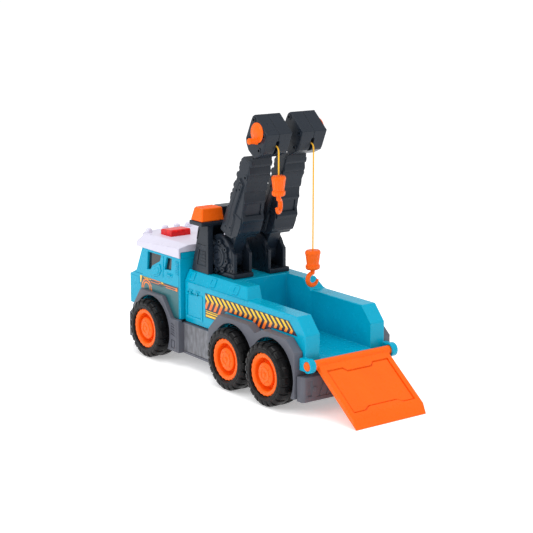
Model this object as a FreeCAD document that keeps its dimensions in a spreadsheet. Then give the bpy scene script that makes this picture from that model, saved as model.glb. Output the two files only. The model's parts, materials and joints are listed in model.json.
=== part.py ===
import FreeCAD, Part
import math
import os
import re
import Sketcher
from FreeCAD import Placement, Rotation, Vector

# A toy tow truck with two crane booms and a fold-down loading ramp.  Millimetres.
# +X is forward (the cab), +Y the truck's left, +Z up.  The origin is on the ground,
# on the centreline, half way between the ramp's tip and the front bumper's face.
# Rest pose: both booms raised against their stops, left hook up, right hook down,
# ramp lowered with its tip on the ground.

DRIVING_DIMENSIONS = {
    # wheels and axles
    "axle_front": 119.9, "axle_middle": -14.0, "axle_rear": -71.5,
    "tyre_radius": 28.0, "tyre_inside": 39.6, "tyre_outside": 61.0, "tyre_seat": 17.6,
    "rim_flange": 18.6, "rim_outside": 59.6, "rim_dish": 53.0, "hub_radius": 8.0,
    "pin_radius": 2.0, "pin_half": 58.6, "running_gap": 0.05,
    # chassis pan
    "pan_rear": -104.2, "pan_front": 154.2, "pan_half": 38.0, "pan_floor": 12.0,
    "pan_top": 41.6, "wall": 2.2,
    "hatch_rear": 30.0, "hatch_front": 80.0, "hatch_half": 24.0,
    # fenders, skirts and bumpers
    "fender_inside": 43.3, "fender_outside": 52.5, "fender_low": 12.5, "fender_top": 62.0,
    "rear_fender_top": 63.3, "arch_radius": 31.0, "skirt_outside": 46.0,
    "panel_rear": 73.0, "panel_front": 86.0, "bumper_front": 168.4, "bumper_rear": -113.0,
    "bumper_half": 50.0,
    # load bed
    "bed_rear": -107.4, "bed_lip": -95.1, "bed_wall": 8.0, "body_front": 75.6,
    "body_half": 43.0, "body_low": 42.0, "side_top": 80.8, "deck_top": 91.0,
    "deck_half": 38.0, "step_rear": -24.0, "step_front": -16.7, "bed_floor": 45.0,
    "bed_half": 27.5, "front_bed_half": 24.0,
    # ramp and its hinge
    "hinge_place": -114.8, "hinge_height": 43.0, "ear_radius": 6.1, "ear_inside": 41.4,
    "ear_outside": 47.5, "rod_radius": 3.95, "ramp_half": 38.1, "ramp_length": 68.66,
    "ramp_thick": 4.6, "ramp_tilt": 36.83, "ramp_bevel": 8.4,
    # cab
    "cab_rear": 76.2, "cab_front": 166.0, "cab_half": 47.6, "cab_low": 43.4,
    "cab_top": 101.4, "glass_low": 79.0,
    # roof
    "roof_rear": 76.2, "roof_front": 151.0, "roof_half": 49.0, "roof_low": 101.6,
    "band_front": 106.6, "band_rear": 111.0, "plateau": 113.5, "plateau_half": 38.0,
    "visor_front": 160.0, "lamp_radius": 3.7, "lamp_height": 3.8,
    "lens_rear": 118.0, "lens_front": 137.0, "lens_right": 8.0, "lens_left": 30.0,
    "lens_top": 119.4, "lens_low": 106.0, "lens_gap": 0.4, "switch_top": 97.0,
    # towers and light bar
    "tower_rear": 43.5, "tower_front": 70.6, "tower_shoulder": 57.5, "tower_out": 38.4,
    "tower_in": 32.6, "tower_top": 136.0, "recess": 62.0,
    "bar_rear": 42.0, "bar_front": 62.2, "bar_half": 46.0, "bar_low": 136.2,
    "bar_top": 140.0, "beacon_top": 152.2, "beacon_inner": 20.6, "block_half": 20.0,
    # boom brackets
    "pivot_place": 38.0, "pivot_height": 108.6, "cheek_radius": 20.0, "post_rear": 15.6,
    "post_top": 113.0, "bracket_rear": 13.0, "bracket_front": 57.0, "bracket_floor": 91.2,
    "bracket_step": 95.4, "inner_cheek_in": 9.2, "inner_cheek_out": 12.2,
    "outer_cheek_in": 25.6, "outer_cheek_out": 29.2, "foot_out": 31.2, "pivot_radius": 4.0,
    "cap_radius": 16.4, "cap_outside": 32.2, "boss_circle": 13.8, "boss_radius": 2.5,
    # booms, in their own axes: length runs from the pivot to the head
    "lean": 26.4, "barrel_radius": 12.6, "barrel_in": 12.5, "barrel_out": 25.3,
    "arm_in": 6.5, "arm_out": 31.3, "plate_in": 5.7, "plate_out": 32.1, "boom_mid": 18.9,
    "arm_foot": 24.8, "arm_joint": 48.8, "arm_end": 102.8, "front_edge": 7.7,
    "neck_back": 7.4, "neck_half": 11.2,
    "head_in": 5.4, "head_out": 32.4, "head_low": 111.5, "winch": 134.0,
    "winch_back": 3.8, "head_wall": 2.0, "shell_gap": 0.1,
    # winches
    "shaft_radius": 3.0, "drum_radius": 5.5, "flange_radius": 6.4, "drum_half": 4.5,
    "disc_radius": 9.2, "disc_in": 32.7, "disc_out": 34.2, "knob_radius": 2.3,
    "knob_end": 42.2, "knob_throw": 6.8,
    # hoist lines, pulley blocks and hooks
    "line_radius": 0.7, "line_place": -37.3, "left_block_top": 190.3,
    "right_block_top": 120.6, "block_height": 17.6, "block_width": 14.2,
    "hook_loop": 5.6, "hook_section": 1.8, "hook_drop": 8.6,
    "left_hook_turn": 36.0, "right_hook_turn": 0.0,
}

doc = FreeCAD.newDocument("ToyTowTruck")
dims = doc.addObject("Spreadsheet::Sheet", "dims")
for row, (alias, number) in enumerate(DRIVING_DIMENSIONS.items(), start=1):
    dims.set(f"A{row}", alias)
    dims.set(f"B{row}", str(number))
    dims.setAlias(f"B{row}", alias)
doc.recompute()

AXLES = {"front": "axle_front", "middle": "axle_middle", "rear": "axle_rear"}
SIDES = {"left": 1, "right": -1}
nodes = []


# ---------------------------------------------------------------- expressions

def bound(text):
    """A FreeCAD expression in which every word is a cell of the sheet."""
    return re.sub(r"[a-z_]+", lambda word: "dims." + word.group(0), str(text))


def number(text):
    """The value of an expression over the sheet's cells."""
    return float(dims.evalExpression(bound(text)))


def span(side, low, high):
    """A range of Y on the truck's left, or its mirror image on the right."""
    if side > 0:
        return low, high
    return f"-({high})", f"-({low})"


def mirrored(side, text):
    return text if side > 0 else f"-({text})"


# ------------------------------------------------------------- feature helpers

def new_body(label):
    body = doc.addObject("PartDesign::Body", label)
    body.Label = label
    nodes.append(body)
    return body


def attached_sketch(body, plane, offset):
    sketch = body.newObject("Sketcher::SketchObject", body.Label + "_sketch")
    origin_plane = next(item for item in body.Origin.OriginFeatures if item.Role == plane)
    sketch.AttachmentSupport = [(origin_plane, "")]
    sketch.MapMode = "FlatFace"
    sketch.setExpression("AttachmentOffset.Base.z", bound(offset))
    return sketch


def pin_down(sketch, geometry, vertex, place):
    """Hold one point of the sketch at two bound distances from the origin."""
    for axis, text in zip(("DistanceX", "DistanceY"), place):
        value = number(text)
        index = sketch.addConstraint(Sketcher.Constraint(axis, -1, 1, geometry, vertex, value))
        sketch.setExpression(f"Constraints[{index}]", bound(text))


def draw_polygon(sketch, points):
    corners = [Vector(number(across), number(up), 0) for across, up in points]
    first = sketch.GeometryCount
    total = len(corners)
    for index, corner in enumerate(corners):
        sketch.addGeometry(Part.LineSegment(corner, corners[(index + 1) % total]), False)
    for index, place in enumerate(points):
        follower = first + (index - 1) % total
        sketch.addConstraint(Sketcher.Constraint("Coincident", follower, 2, first + index, 1))
        pin_down(sketch, first + index, 1, place)


def draw_circle(sketch, centre, radius):
    circle = Part.Circle(Vector(number(centre[0]), number(centre[1]), 0),
                         Vector(0, 0, 1), number(radius))
    geometry = sketch.addGeometry(circle, False)
    pin_down(sketch, geometry, 3, centre)
    index = sketch.addConstraint(Sketcher.Constraint("Radius", geometry, number(radius)))
    sketch.setExpression(f"Constraints[{index}]", bound(radius))


def draw(sketch, shapes):
    """Shapes are outlines (lists of corners) or circles (centre, radius)."""
    for shape in shapes:
        if isinstance(shape, tuple):
            draw_circle(sketch, *shape)
        else:
            draw_polygon(sketch, shape)


def slab(body, plane, shapes, low, high, cut=False):
    """Add or cut the prism between two values of the plane's own axis."""
    offset = f"-({high})" if plane == "XZ_Plane" else low
    sketch = attached_sketch(body, plane, offset)
    draw(sketch, shapes)
    before = body.Shape.Volume if cut else 0.0
    kind = "PartDesign::Pocket" if cut else "PartDesign::Pad"
    feature = body.newObject(kind, body.Label + ("_cut" if cut else "_pad"))
    feature.Profile = sketch
    feature.setExpression("Length", bound(f"({high}) - ({low})"))
    feature.Reversed = cut
    doc.recompute()
    if cut and body.Shape.Volume > before - 1e-6:
        raise RuntimeError(f"{feature.Label} cuts nothing")
    return feature


def rectangle(left, low, right, high):
    return [(left, low), (right, low), (right, high), (left, high)]


def bevel(body, size, pick):
    """Chamfer the edges of the body's tip that pick accepts."""
    base = body.Tip
    names = [f"Edge{index}" for index, edge in enumerate(base.Shape.Edges, start=1)
             if pick(edge)]
    if not names:
        raise RuntimeError(f"{body.Label} has no edge to bevel")
    feature = body.newObject("PartDesign::Chamfer", body.Label + "_bevel")
    feature.Base = (base, names)
    feature.setExpression("Size", bound(size))
    doc.recompute()


def runs_along(edge, direction, length=0.0):
    """True for a straight edge along a direction, at least as long as length."""
    if not isinstance(edge.Curve, Part.Line) or edge.Length < length:
        return False
    return abs(abs(edge.Curve.Direction.dot(direction)) - 1) < 1e-4


def place(item, across="0", side="0", up="0", turn=None):
    """Bind an object's placement: a shift, and a turn about the Y axis."""
    if turn is not None:
        item.Placement = Placement(Vector(), Rotation(Vector(0, 1, 0), number(turn)))
        item.setExpression("Placement.Rotation.Angle", bound(turn))
    for axis, text in zip("xyz", (across, side, up)):
        item.setExpression(f"Placement.Base.{axis}", bound(text))


def box(name, low, high):
    item = doc.addObject("Part::Box", name)
    for size, start, end in zip(("Length", "Width", "Height"), low, high):
        item.setExpression(size, bound(f"({end}) - ({start})"))
    place(item, *low)
    return item


def cylinder(name, radius, low, high, across="0", up="0", axis="Y"):
    """A cylinder along Y between two values of Y, or along Z between two of Z."""
    item = doc.addObject("Part::Cylinder", name)
    item.setExpression("Radius", bound(radius))
    item.setExpression("Height", bound(f"({high}) - ({low})"))
    if axis == "Y":
        item.Placement = Placement(Vector(), Rotation(Vector(1, 0, 0), -90))
        place(item, across, low, up)
    else:
        place(item, across[0], across[1], low)
    return item


def grouped(label, pieces):
    """Several separate solids that share one node."""
    group = doc.addObject("Part::Compound", label)
    group.Label = label
    group.Links = pieces
    nodes.append(group)
    return group


# ---------------------------------------------------------------------- wheels

def revolve(body, outline):
    """Turn an outline of (radius, Y) corners about the body's Y axis."""
    sketch = attached_sketch(body, "XY_Plane", "0")
    draw_polygon(sketch, outline)
    feature = body.newObject("PartDesign::Revolution", body.Label + "_turn")
    feature.Profile = sketch
    feature.ReferenceAxis = (sketch, ["V_Axis"])
    feature.Angle = 360
    doc.recompute()


def make_tyre(label, axle, side):
    body = new_body(label)
    corners = [("tyre_seat", "tyre_inside"), ("tyre_radius - 3", "tyre_inside"),
               ("tyre_radius", "tyre_inside + 3.5"), ("tyre_radius", "tyre_outside - 4"),
               ("tyre_radius - 3.5", "tyre_outside"), ("tyre_seat + 2.5", "tyre_outside"),
               ("tyre_seat + 1.4", "tyre_outside - 3"), ("tyre_seat", "tyre_outside - 3.2")]
    revolve(body, [(radius, mirrored(side, wide)) for radius, wide in corners])
    place(body, axle, "0", "tyre_radius")


def make_rim(label, axle, side):
    """A deep dish with a hub, a scalloped flange and eight openings."""
    body = new_body(label)
    corners = [("pin_radius", "tyre_inside + 1"), ("hub_radius", "tyre_inside + 1"),
               ("hub_radius", "rim_dish - 2.4"), ("tyre_seat - 3", "rim_dish - 2.4"),
               ("tyre_seat - 2.4", "tyre_inside + 0.6"), ("tyre_seat - 0.05", "tyre_inside + 0.6"),
               ("tyre_seat - 0.05", "tyre_outside - 2.7"), ("rim_flange", "rim_outside - 0.8"),
               ("rim_flange", "rim_outside"), ("tyre_seat - 2.4", "rim_outside"),
               ("tyre_seat - 3.6", "rim_dish"), ("hub_radius + 1.4", "rim_dish"),
               ("hub_radius", "rim_outside - 1.6"), ("pin_radius", "rim_outside - 1.6")]
    revolve(body, [(radius, mirrored(side, wide)) for radius, wide in corners])
    low, high = span(side, "rim_dish - 4", "rim_dish + 3")
    slot = slab(body, "XZ_Plane", [(("(hub_radius + tyre_seat) / 2 - 0.9", "0"), "1.7")],
                low, high, cut=True)
    pattern = body.newObject("PartDesign::PolarPattern", label + "_openings")
    pattern.Originals = [slot]
    pattern.Axis = (body.Origin.OriginFeatures[1], [""])
    pattern.Angle = 360
    pattern.Occurrences = 8
    body.Tip = pattern
    doc.recompute()
    place(body, axle, "0", "tyre_radius")


def make_wheels():
    for name, axle in AXLES.items():
        cylinder_item = cylinder(f"axle_{name}", "pin_radius", "-pin_half", "pin_half",
                                 axle, "tyre_radius")
        cylinder_item.Label = f"axle_{name}"
        nodes.append(cylinder_item)
        for side_name, side in SIDES.items():
            make_rim(f"rim_{name}_{side_name}", axle, side)
            make_tyre(f"tyre_{name}_{side_name}", axle, side)


# --------------------------------------------------------------------- chassis

def make_chassis():
    body = new_body("chassis")
    slab(body, "XY_Plane", [rectangle("pan_rear", "-pan_half", "pan_front", "pan_half")],
         "pan_floor", "pan_top")
    slab(body, "XY_Plane",
         [rectangle("pan_rear + wall", "-pan_half + wall", "pan_front - wall", "pan_half - wall")],
         "pan_floor + wall", "pan_top", cut=True)
    for axle in AXLES.values():
        for side in SIDES.values():
            low, high = span(side, "pan_half - 10", "pan_half - 1")
            slab(body, "XZ_Plane", [rectangle(f"{axle} - 5", "pan_floor + 1",
                                              f"{axle} + 5", "tyre_radius + 5")], low, high)
        slab(body, "XZ_Plane", [((axle, "tyre_radius"), "pin_radius + running_gap")],
             "-pan_half - 1", "pan_half + 1", cut=True)
    slab(body, "XY_Plane", [rectangle("hatch_rear", "-hatch_half", "hatch_front", "hatch_half")],
         "pan_floor - 1", "pan_floor + wall + 1", cut=True)
    for side in SIDES.values():
        low, high = span(side, "hatch_half", "hatch_half + 1.6")
        slab(body, "XZ_Plane", [rectangle("hatch_rear", "pan_floor + 1", "hatch_front", "30")],
             low, high)


def make_battery_bay():
    """Cover, two cells, circuit board, speaker and screws."""
    body = new_body("battery_cover")
    slab(body, "XY_Plane", [rectangle("hatch_rear + 0.3", "-hatch_half + 0.3",
                                      "hatch_front - 0.3", "hatch_half - 0.3")],
         "pan_floor", "pan_floor + wall")
    slab(body, "XY_Plane", [(("hatch_front - 5", "0"), "1.3")],
         "pan_floor - 1", "pan_floor + wall + 1", cut=True)
    cells = [cylinder(f"cell_{index}", "5.2", "-22.2", "22.2", f"hatch_rear + {offset}",
                      "pan_floor + wall + 5.6") for index, offset in enumerate((9, 21, 33))]
    grouped("battery_cells", cells)
    screw = [cylinder(f"screw_{index}", "1.25", "pan_floor - 0.1", "pan_floor + 8",
                      (across, wide), axis="Z")
             for index, (across, wide) in enumerate([("hatch_front - 5", "0")])]
    for index, (across, wide) in enumerate([("96", "22"), ("96", "-22"), ("10", "22"),
                                            ("10", "-22"), ("-92", "22"), ("-92", "-22")]):
        screw.append(cylinder(f"housing_screw_{index}", "2.6", "pan_floor - 0.8",
                              "pan_floor - 0.05", (across, wide), axis="Z"))
    grouped("housing_screws", screw)
    board = new_body("circuit_board")
    slab(board, "XY_Plane", [rectangle("92", "-20", "132", "32")], "switch_top - 9",
         "switch_top - 7.4")
    slab(board, "XY_Plane", [rectangle("124", "15", "131", "23")], "switch_top - 7.5",
         "switch_top")
    speaker = new_body("speaker")
    slab(speaker, "XY_Plane", [(("10", "0"), "13")], "pan_floor + wall + 0.1", "pan_floor + 8")
    slab(speaker, "XY_Plane", [(("10", "0"), "7")], "pan_floor + 7", "pan_floor + 11")


# ---------------------------------------------------- fenders, skirts, bumpers

def fender_outlines(inset):
    """The two side profiles, moved inwards by inset at every corner."""
    front = [("panel_rear", "fender_low", 1, 1), ("pan_front", "fender_low", -1, 1),
             ("pan_front", "43.7", -1, 0), ("140", "fender_top", -0.6, -1),
             ("100.7", "fender_top", 0.6, -1), ("panel_front", "43.7", 0.6, -1),
             ("panel_rear", "43.7", 1, -1)]
    rear = [("pan_rear", "fender_low", 1, 1), ("23.4", "fender_low", -1, 1),
            ("23.4", "47.5", -1, -0.4), ("7.2", "rear_fender_top", -0.4, -1),
            ("-38", "rear_fender_top", 0.4, -1), ("-48", "58", 0, -1),
            ("-58.4", "rear_fender_top", -0.4, -1),
            ("pan_rear + 12.5", "rear_fender_top - 0.6", 0.4, -1),
            ("pan_rear", "rear_fender_top - 10.8", 1, -0.4)]
    return [[(f"{across} + {dx * inset}", f"{up} + {dz * inset}") for across, up, dx, dz in part]
            for part in (front, rear)]


def make_fender(side_name, side):
    body = new_body(f"fender_{side_name}")
    outer, hollow = fender_outlines(0), fender_outlines(2.2)
    beside_cab = span(side, "cab_half + 0.3", "fender_outside")
    beside_bed = span(side, "fender_inside", "fender_outside")
    low_part = span(side, "pan_half + 0.3", "cab_half + 1")
    skirt = span(side, "pan_half + 0.3", "skirt_outside")
    slab(body, "XZ_Plane", [rectangle("20", "fender_low", "76", "pan_top - 0.2")], *skirt)
    slab(body, "XZ_Plane", [outer[0]], *beside_cab)
    slab(body, "XZ_Plane", [outer[1]], *beside_bed)
    slab(body, "XZ_Plane", [rectangle("panel_rear", "fender_low", "pan_front", "pan_top - 0.2"),
                            rectangle("pan_rear", "fender_low", "23.4", "pan_top - 0.2")],
         *low_part)
    hollow_span = span(side, "pan_half - 1", "fender_outside - wall")
    slab(body, "XZ_Plane", [hollow[0], hollow[1]], *hollow_span, cut=True)
    skirt_hollow = span(side, "pan_half - 1", "skirt_outside - wall")
    slab(body, "XZ_Plane", [rectangle("25.6", "fender_low + wall", "70.8", "pan_top - 2.4")],
         *skirt_hollow, cut=True)
    through = span(side, "pan_half - 1", "fender_outside + 1")
    for axle in AXLES.values():
        slab(body, "XZ_Plane", [((axle, "tyre_radius"), "arch_radius")], *through, cut=True)


def make_bumpers():
    front = new_body("front_bumper")
    slab(front, "XZ_Plane", [[("pan_front + 0.3", "10"), ("bumper_front", "10"),
                              ("bumper_front", "31"), ("157.5", "40"),
                              ("pan_front + 0.3", "40")]], "-bumper_half", "bumper_half")
    slab(front, "YZ_Plane", [rectangle("-bumper_half + wall", "10 + wall",
                                       "bumper_half - wall", "31 - wall")],
         "pan_front", "bumper_front - wall", cut=True)
    bevel(front, "3.5", lambda edge: runs_along(edge, Vector(0, 0, 1), 12)
          and edge.CenterOfMass.x > number("bumper_front - 1"))
    rear = new_body("rear_bumper")
    slab(rear, "XY_Plane", [rectangle("bumper_rear", "-bumper_half", "pan_rear - 0.3",
                                      "bumper_half")], "11", "33")
    slab(rear, "YZ_Plane", [rectangle("-bumper_half + wall", "11 + wall",
                                      "bumper_half - wall", "33 - wall")],
         "bumper_rear + wall", "pan_rear", cut=True)
    for side in SIDES.values():
        low, high = sorted((side * 40, side * 44))
        slab(rear, "YZ_Plane", [rectangle(str(low), "16", str(high), "29")],
             "bumper_rear - 1", "bumper_rear + 1", cut=True)
    bevel(rear, "2.5", lambda edge: runs_along(edge, Vector(0, 0, 1), 12)
          and edge.CenterOfMass.x < number("bumper_rear + 0.5")
          and abs(edge.CenterOfMass.y) > number("bumper_half - 1"))


# --------------------------------------------------------- load bed and ramp

def make_bed_body():
    body = new_body("bed_body")
    slab(body, "XZ_Plane", [[("bed_rear", "body_low"), ("body_front", "body_low"),
                             ("body_front", "side_top"), ("bed_lip", "side_top"),
                             ("bed_rear", "66.8")]], "-body_half", "body_half")
    slab(body, "YZ_Plane", [[("-body_half", "side_top - 0.01"), ("body_half", "side_top - 0.01"),
                             ("deck_half", "deck_top"), ("-deck_half", "deck_top")]],
         "step_rear", "body_front")
    slab(body, "XZ_Plane", [[("step_rear - 1", "side_top"), ("step_rear", "side_top"),
                             ("step_front", "deck_top"), ("step_front", "deck_top + 1"),
                             ("step_rear - 1", "deck_top + 1")]],
         "-body_half - 1", "body_half + 1", cut=True)
    slab(body, "XY_Plane", [[("bed_rear - 1", "-bed_half"), ("step_rear - 2", "-bed_half"),
                             ("step_front", "-front_bed_half"), ("bed_wall", "-front_bed_half"),
                             ("bed_wall", "front_bed_half"), ("step_front", "front_bed_half"),
                             ("step_rear - 2", "bed_half"), ("bed_rear - 1", "bed_half")]],
         "bed_floor", "deck_top + 1", cut=True)
    slab(body, "XY_Plane", [rectangle("bed_wall + wall", "-body_half + wall",
                                      "body_front - wall", "body_half - wall")],
         "body_low - 1", "side_top - wall", cut=True)
    slab(body, "YZ_Plane", [[("-body_half + wall + 0.4", "side_top - wall - 0.1"),
                             ("body_half - wall - 0.4", "side_top - wall - 0.1"),
                             ("deck_half - wall", "deck_top - wall"),
                             ("-deck_half + wall", "deck_top - wall")]],
         "bed_wall + wall", "body_front - wall", cut=True)
    for side in SIDES.values():
        low, high = sorted((side * 30, side * 40.6))
        slab(body, "XY_Plane", [rectangle("bed_rear + 8", str(low), "bed_wall - wall", str(high))],
             "body_low - 1", "side_top - 12", cut=True)
        ear = span(side, "ear_inside", "ear_outside")
        slab(body, "XZ_Plane", [(("hinge_place", "hinge_height"), "ear_radius")], *ear)
        slab(body, "XZ_Plane", [rectangle("hinge_place", "hinge_height - 5.4",
                                          "pan_rear - 0.4", "hinge_height + 5.4")], *ear)
        neck = span(side, "ear_inside", "body_half")
        slab(body, "XZ_Plane", [rectangle("hinge_place", "body_low + 0.2", "bed_rear + 4",
                                          "hinge_height + 5.4")], *neck)
        arch = span(side, "pan_half + 0.4", "body_half + 1")
        for axle in ("axle_middle", "axle_rear"):
            slab(body, "XZ_Plane", [((axle, "tyre_radius"), "arch_radius")], *arch, cut=True)
    slab(body, "XZ_Plane", [(("hinge_place", "hinge_height"), "rod_radius + running_gap")],
         "-ear_outside - 1", "ear_outside + 1", cut=True)


def make_ramp():
    """Built lying flat, hinge axis at the origin and tip towards -X, then tilted."""
    body = new_body("ramp")
    slab(body, "XZ_Plane", [[("0", "-ramp_thick / 2"), ("0", "ramp_thick / 2"),
                             ("-ramp_length + ramp_bevel", "ramp_thick / 2"),
                             ("-ramp_length", "-ramp_thick / 2")]], "-ramp_half", "ramp_half")
    slab(body, "XZ_Plane", [(("0", "0"), "rod_radius")], "-ear_outside", "ear_outside")
    slab(body, "XY_Plane", [rectangle("-ramp_length + ramp_bevel + 6", "-ramp_half + 5", "-9",
                                      "ramp_half - 5")],
         "ramp_thick / 2 - 0.8", "ramp_thick / 2 + 1", cut=True)
    for side in SIDES.values():
        low, high = sorted((side * 16, side * 26))
        slab(body, "XY_Plane", [rectangle("-9.5", str(low), "-5.5", str(high))],
             "ramp_thick / 2 - 0.8", "ramp_thick / 2 + 1", cut=True)
    place(body, "hinge_place", "0", "hinge_height", "-ramp_tilt")


# ------------------------------------------------------------------ cab

CAB_PROFILE = [("cab_rear", "cab_low", 1, 0), ("cab_front", "cab_low", -1, 0),
               ("cab_front", "72.6", -1, -0.4), ("163", "73.6", -0.8, -1),
               ("154.4", "77.7", -1, -0.6), ("143", "cab_top", -0.8, -1),
               ("cab_rear", "cab_top", 1, -1)]
FRONT_WINDOW = [("132.9", "98.9"), ("109.3", "98.9"), ("111.3", "93.3"), ("125", "86.9"),
                ("128.9", "82.2"), ("134.4", "81.7")]
REAR_WINDOW = [("99.5", "98.9"), ("90.7", "98.9"), ("91.9", "87.9"), ("103.4", "86.8")]


def inset_profile(profile, inset):
    return [(f"{across} + {dx * inset}", f"{up} + {dz * inset}") for across, up, dx, dz in profile]


def make_cab():
    body = new_body("cab_shell")
    slab(body, "XZ_Plane", [inset_profile(CAB_PROFILE, 0)], "-cab_half", "cab_half")
    hollow = inset_profile(CAB_PROFILE, 2.4)
    slab(body, "XZ_Plane", [hollow], "-cab_half + 2.4", "cab_half - 2.4", cut=True)
    slab(body, "XZ_Plane", [FRONT_WINDOW, REAR_WINDOW], "-cab_half - 1", "cab_half + 1", cut=True)
    slab(body, "YZ_Plane", [[("-36", "80.5"), ("36", "80.5"), ("33", "97.5"), ("-33", "97.5")]],
         "137", "cab_front", cut=True)
    slab(body, "XZ_Plane", [(("axle_front", "tyre_radius"), "arch_radius")],
         "-cab_half - 1", "cab_half + 1", cut=True)
    slab(body, "XY_Plane", [rectangle("lens_rear - 6", "lens_right - 4", "lens_front + 3",
                                      "lens_left + 6")],
         "cab_top - 5", "cab_top + 1", cut=True)
    slab(body, "YZ_Plane", [rectangle("-cab_half + 1.2", "cab_top - 2.4", "cab_half - 1.2",
                                      "cab_top + 5.4")], "cab_rear + 0.2", "cab_rear + 2.4")
    glass = new_body("cab_glazing")
    outer = [("cab_rear + 3", "glass_low"), ("150.1", "glass_low"), ("140.4", "cab_top - 2.8"),
             ("cab_rear + 3", "cab_top - 2.8")]
    slab(glass, "XZ_Plane", [outer], "-cab_half + 2.7", "cab_half - 2.7")
    inner = [("cab_rear + 4.4", "glass_low - 1"), ("148.4", "glass_low - 1"),
             ("139.2", "cab_top - 4.2"), ("cab_rear + 4.4", "cab_top - 4.2")]
    slab(glass, "XZ_Plane", [inner], "-cab_half + 4.2", "cab_half - 4.2", cut=True)
    slab(glass, "XY_Plane", [(("127.5", "19"), "4.5")], "cab_top - 5", "cab_top - 2", cut=True)
    grille = new_body("front_grille")
    slab(grille, "YZ_Plane", [rectangle("-26", "45", "26", "67")],
         "cab_front + 0.1", "cab_front + 2.2")
    for index in range(4):
        low = 48 + index * 4.8
        slab(grille, "YZ_Plane", [rectangle("-23", str(low), "23", str(low + 2.4))],
             "cab_front + 1", "cab_front + 3", cut=True)
    lamps = [box(f"headlamp_{name}", ("cab_front + 0.1", span(side, "29", "44")[0], "49"),
                 ("cab_front + 2.2", span(side, "29", "44")[1], "63"))
             for name, side in SIDES.items()]
    grouped("headlamps", lamps)


# ------------------------------------------------------------- roof and button

def roof_section(body, across, half, band, low, top_half, top):
    sketch = attached_sketch(body, "YZ_Plane", across)
    draw_polygon(sketch, [(f"-{half}", low), (half, low), (half, band), (top_half, top),
                          (f"-{top_half}", top), (f"-{half}", band)])
    return sketch


def make_roof():
    body = new_body("cab_roof")
    rear = roof_section(body, "roof_rear", "roof_half", "band_rear", "roof_low",
                        "plateau_half", "plateau")
    front = roof_section(body, "roof_front", "roof_half", "band_front", "roof_low",
                         "plateau_half", "plateau")
    loft = body.newObject("PartDesign::AdditiveLoft", "cab_roof_loft")
    loft.Profile = rear
    loft.Sections = [front]
    loft.Ruled = True
    doc.recompute()
    slab(body, "XY_Plane", [[("140", "-40"), ("152", "-41"), ("156.5", "-36"),
                             ("visor_front", "-20"), ("visor_front", "20"), ("156.5", "36"),
                             ("152", "41"), ("140", "40")]], "106", "plateau")
    slab(body, "XY_Plane", [rectangle("roof_rear + wall", "-roof_half + wall",
                                      "roof_front - wall", "roof_half - wall")],
         "roof_low - 1", "band_front - 1.2", cut=True)
    slab(body, "XY_Plane", [rectangle("roof_rear + wall", "-plateau_half", "roof_front - wall",
                                      "plateau_half")],
         "band_front - 2", "plateau - wall", cut=True)
    slab(body, "XY_Plane", [rectangle("roof_rear - 1", "-roof_half + wall", "roof_rear + 3",
                                      "roof_half - wall")],
         "roof_low - 1", "107", cut=True)
    slab(body, "XY_Plane", [rectangle("lens_rear - lens_gap", "lens_right - lens_gap",
                                      "lens_front + lens_gap", "lens_left + lens_gap")],
         "plateau - wall - 1", "plateau + 1", cut=True)
    marks = [("155", "0"), ("155", "13.4"), ("155", "-13.4"), ("150.6", "35"), ("150.6", "-35")]
    lamps = [cylinder(f"marker_{index}", "lamp_radius", "plateau + 0.05",
                      "plateau + lamp_height", mark, axis="Z")
             for index, mark in enumerate(marks)]
    grouped("roof_marker_lamps", lamps)


def make_button():
    """The red lens is a push-button on a coil spring above its switch."""
    lens = new_body("roof_lens")
    slab(lens, "XZ_Plane", [[("lens_rear", "lens_low"), ("lens_front", "lens_low"),
                             ("lens_front", "plateau + 4.2"), ("lens_front - 3", "lens_top - 0.6"),
                             ("lens_rear + 1.4", "lens_top"), ("lens_rear", "lens_top - 1")]],
         "lens_right", "lens_left")
    slab(lens, "XY_Plane", [rectangle("lens_rear + 1.6", "lens_right + 1.6",
                                      "lens_front - 1.6", "lens_left - 1.6")],
         "lens_low - 1", "lens_top - 4", cut=True)
    slab(lens, "XY_Plane", [(("127.5", "19"), "2")], "lens_low", "lens_top - 3.5")
    helix = doc.addObject("Part::Helix", "spring_path")
    helix.Pitch = 2.6
    helix.setExpression("Height", bound("lens_low - switch_top - 1.4"))
    helix.Radius = 2.9
    wire = doc.addObject("Part::Circle", "spring_wire")
    wire.Radius = 0.35
    wire.Placement = Placement(Vector(2.9, 0, 0), Rotation(Vector(1, 0, 0), 90))
    spring = doc.addObject("Part::Sweep", "lens_spring")
    spring.Label = "lens_spring"
    spring.Sections = [wire]
    spring.Spine = (helix, ["Edge1"])
    spring.Solid = True
    spring.Frenet = True
    place(spring, "127.5", "19", "switch_top + 0.7")
    nodes.append(spring)


# ------------------------------------------------------- towers and light bar

def make_tower(side_name, side):
    body = new_body(f"tower_{side_name}")
    cheek = span(side, "tower_in", "tower_out")
    slab(body, "XZ_Plane", [[("tower_rear", "deck_top + 0.2"), ("tower_front", "deck_top + 0.2"),
                             ("tower_shoulder", "tower_top"), ("tower_rear", "tower_top")]],
         *cheek)
    back = span(side, "10", "tower_in")
    slab(body, "XZ_Plane", [[("recess", "deck_top + 0.2"), ("tower_front", "deck_top + 0.2"),
                             ("tower_shoulder", "tower_top"), ("tower_shoulder - 5", "tower_top"),
                             ("recess", "116")]], *back)
    slot = span(side, "tower_out - 0.8", "tower_out + 1")
    slab(body, "XZ_Plane", [[("57.2", "131.5"), ("58.8", "131.5"), ("61.4", "122"),
                             ("59.8", "122")]], *slot, cut=True)


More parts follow.
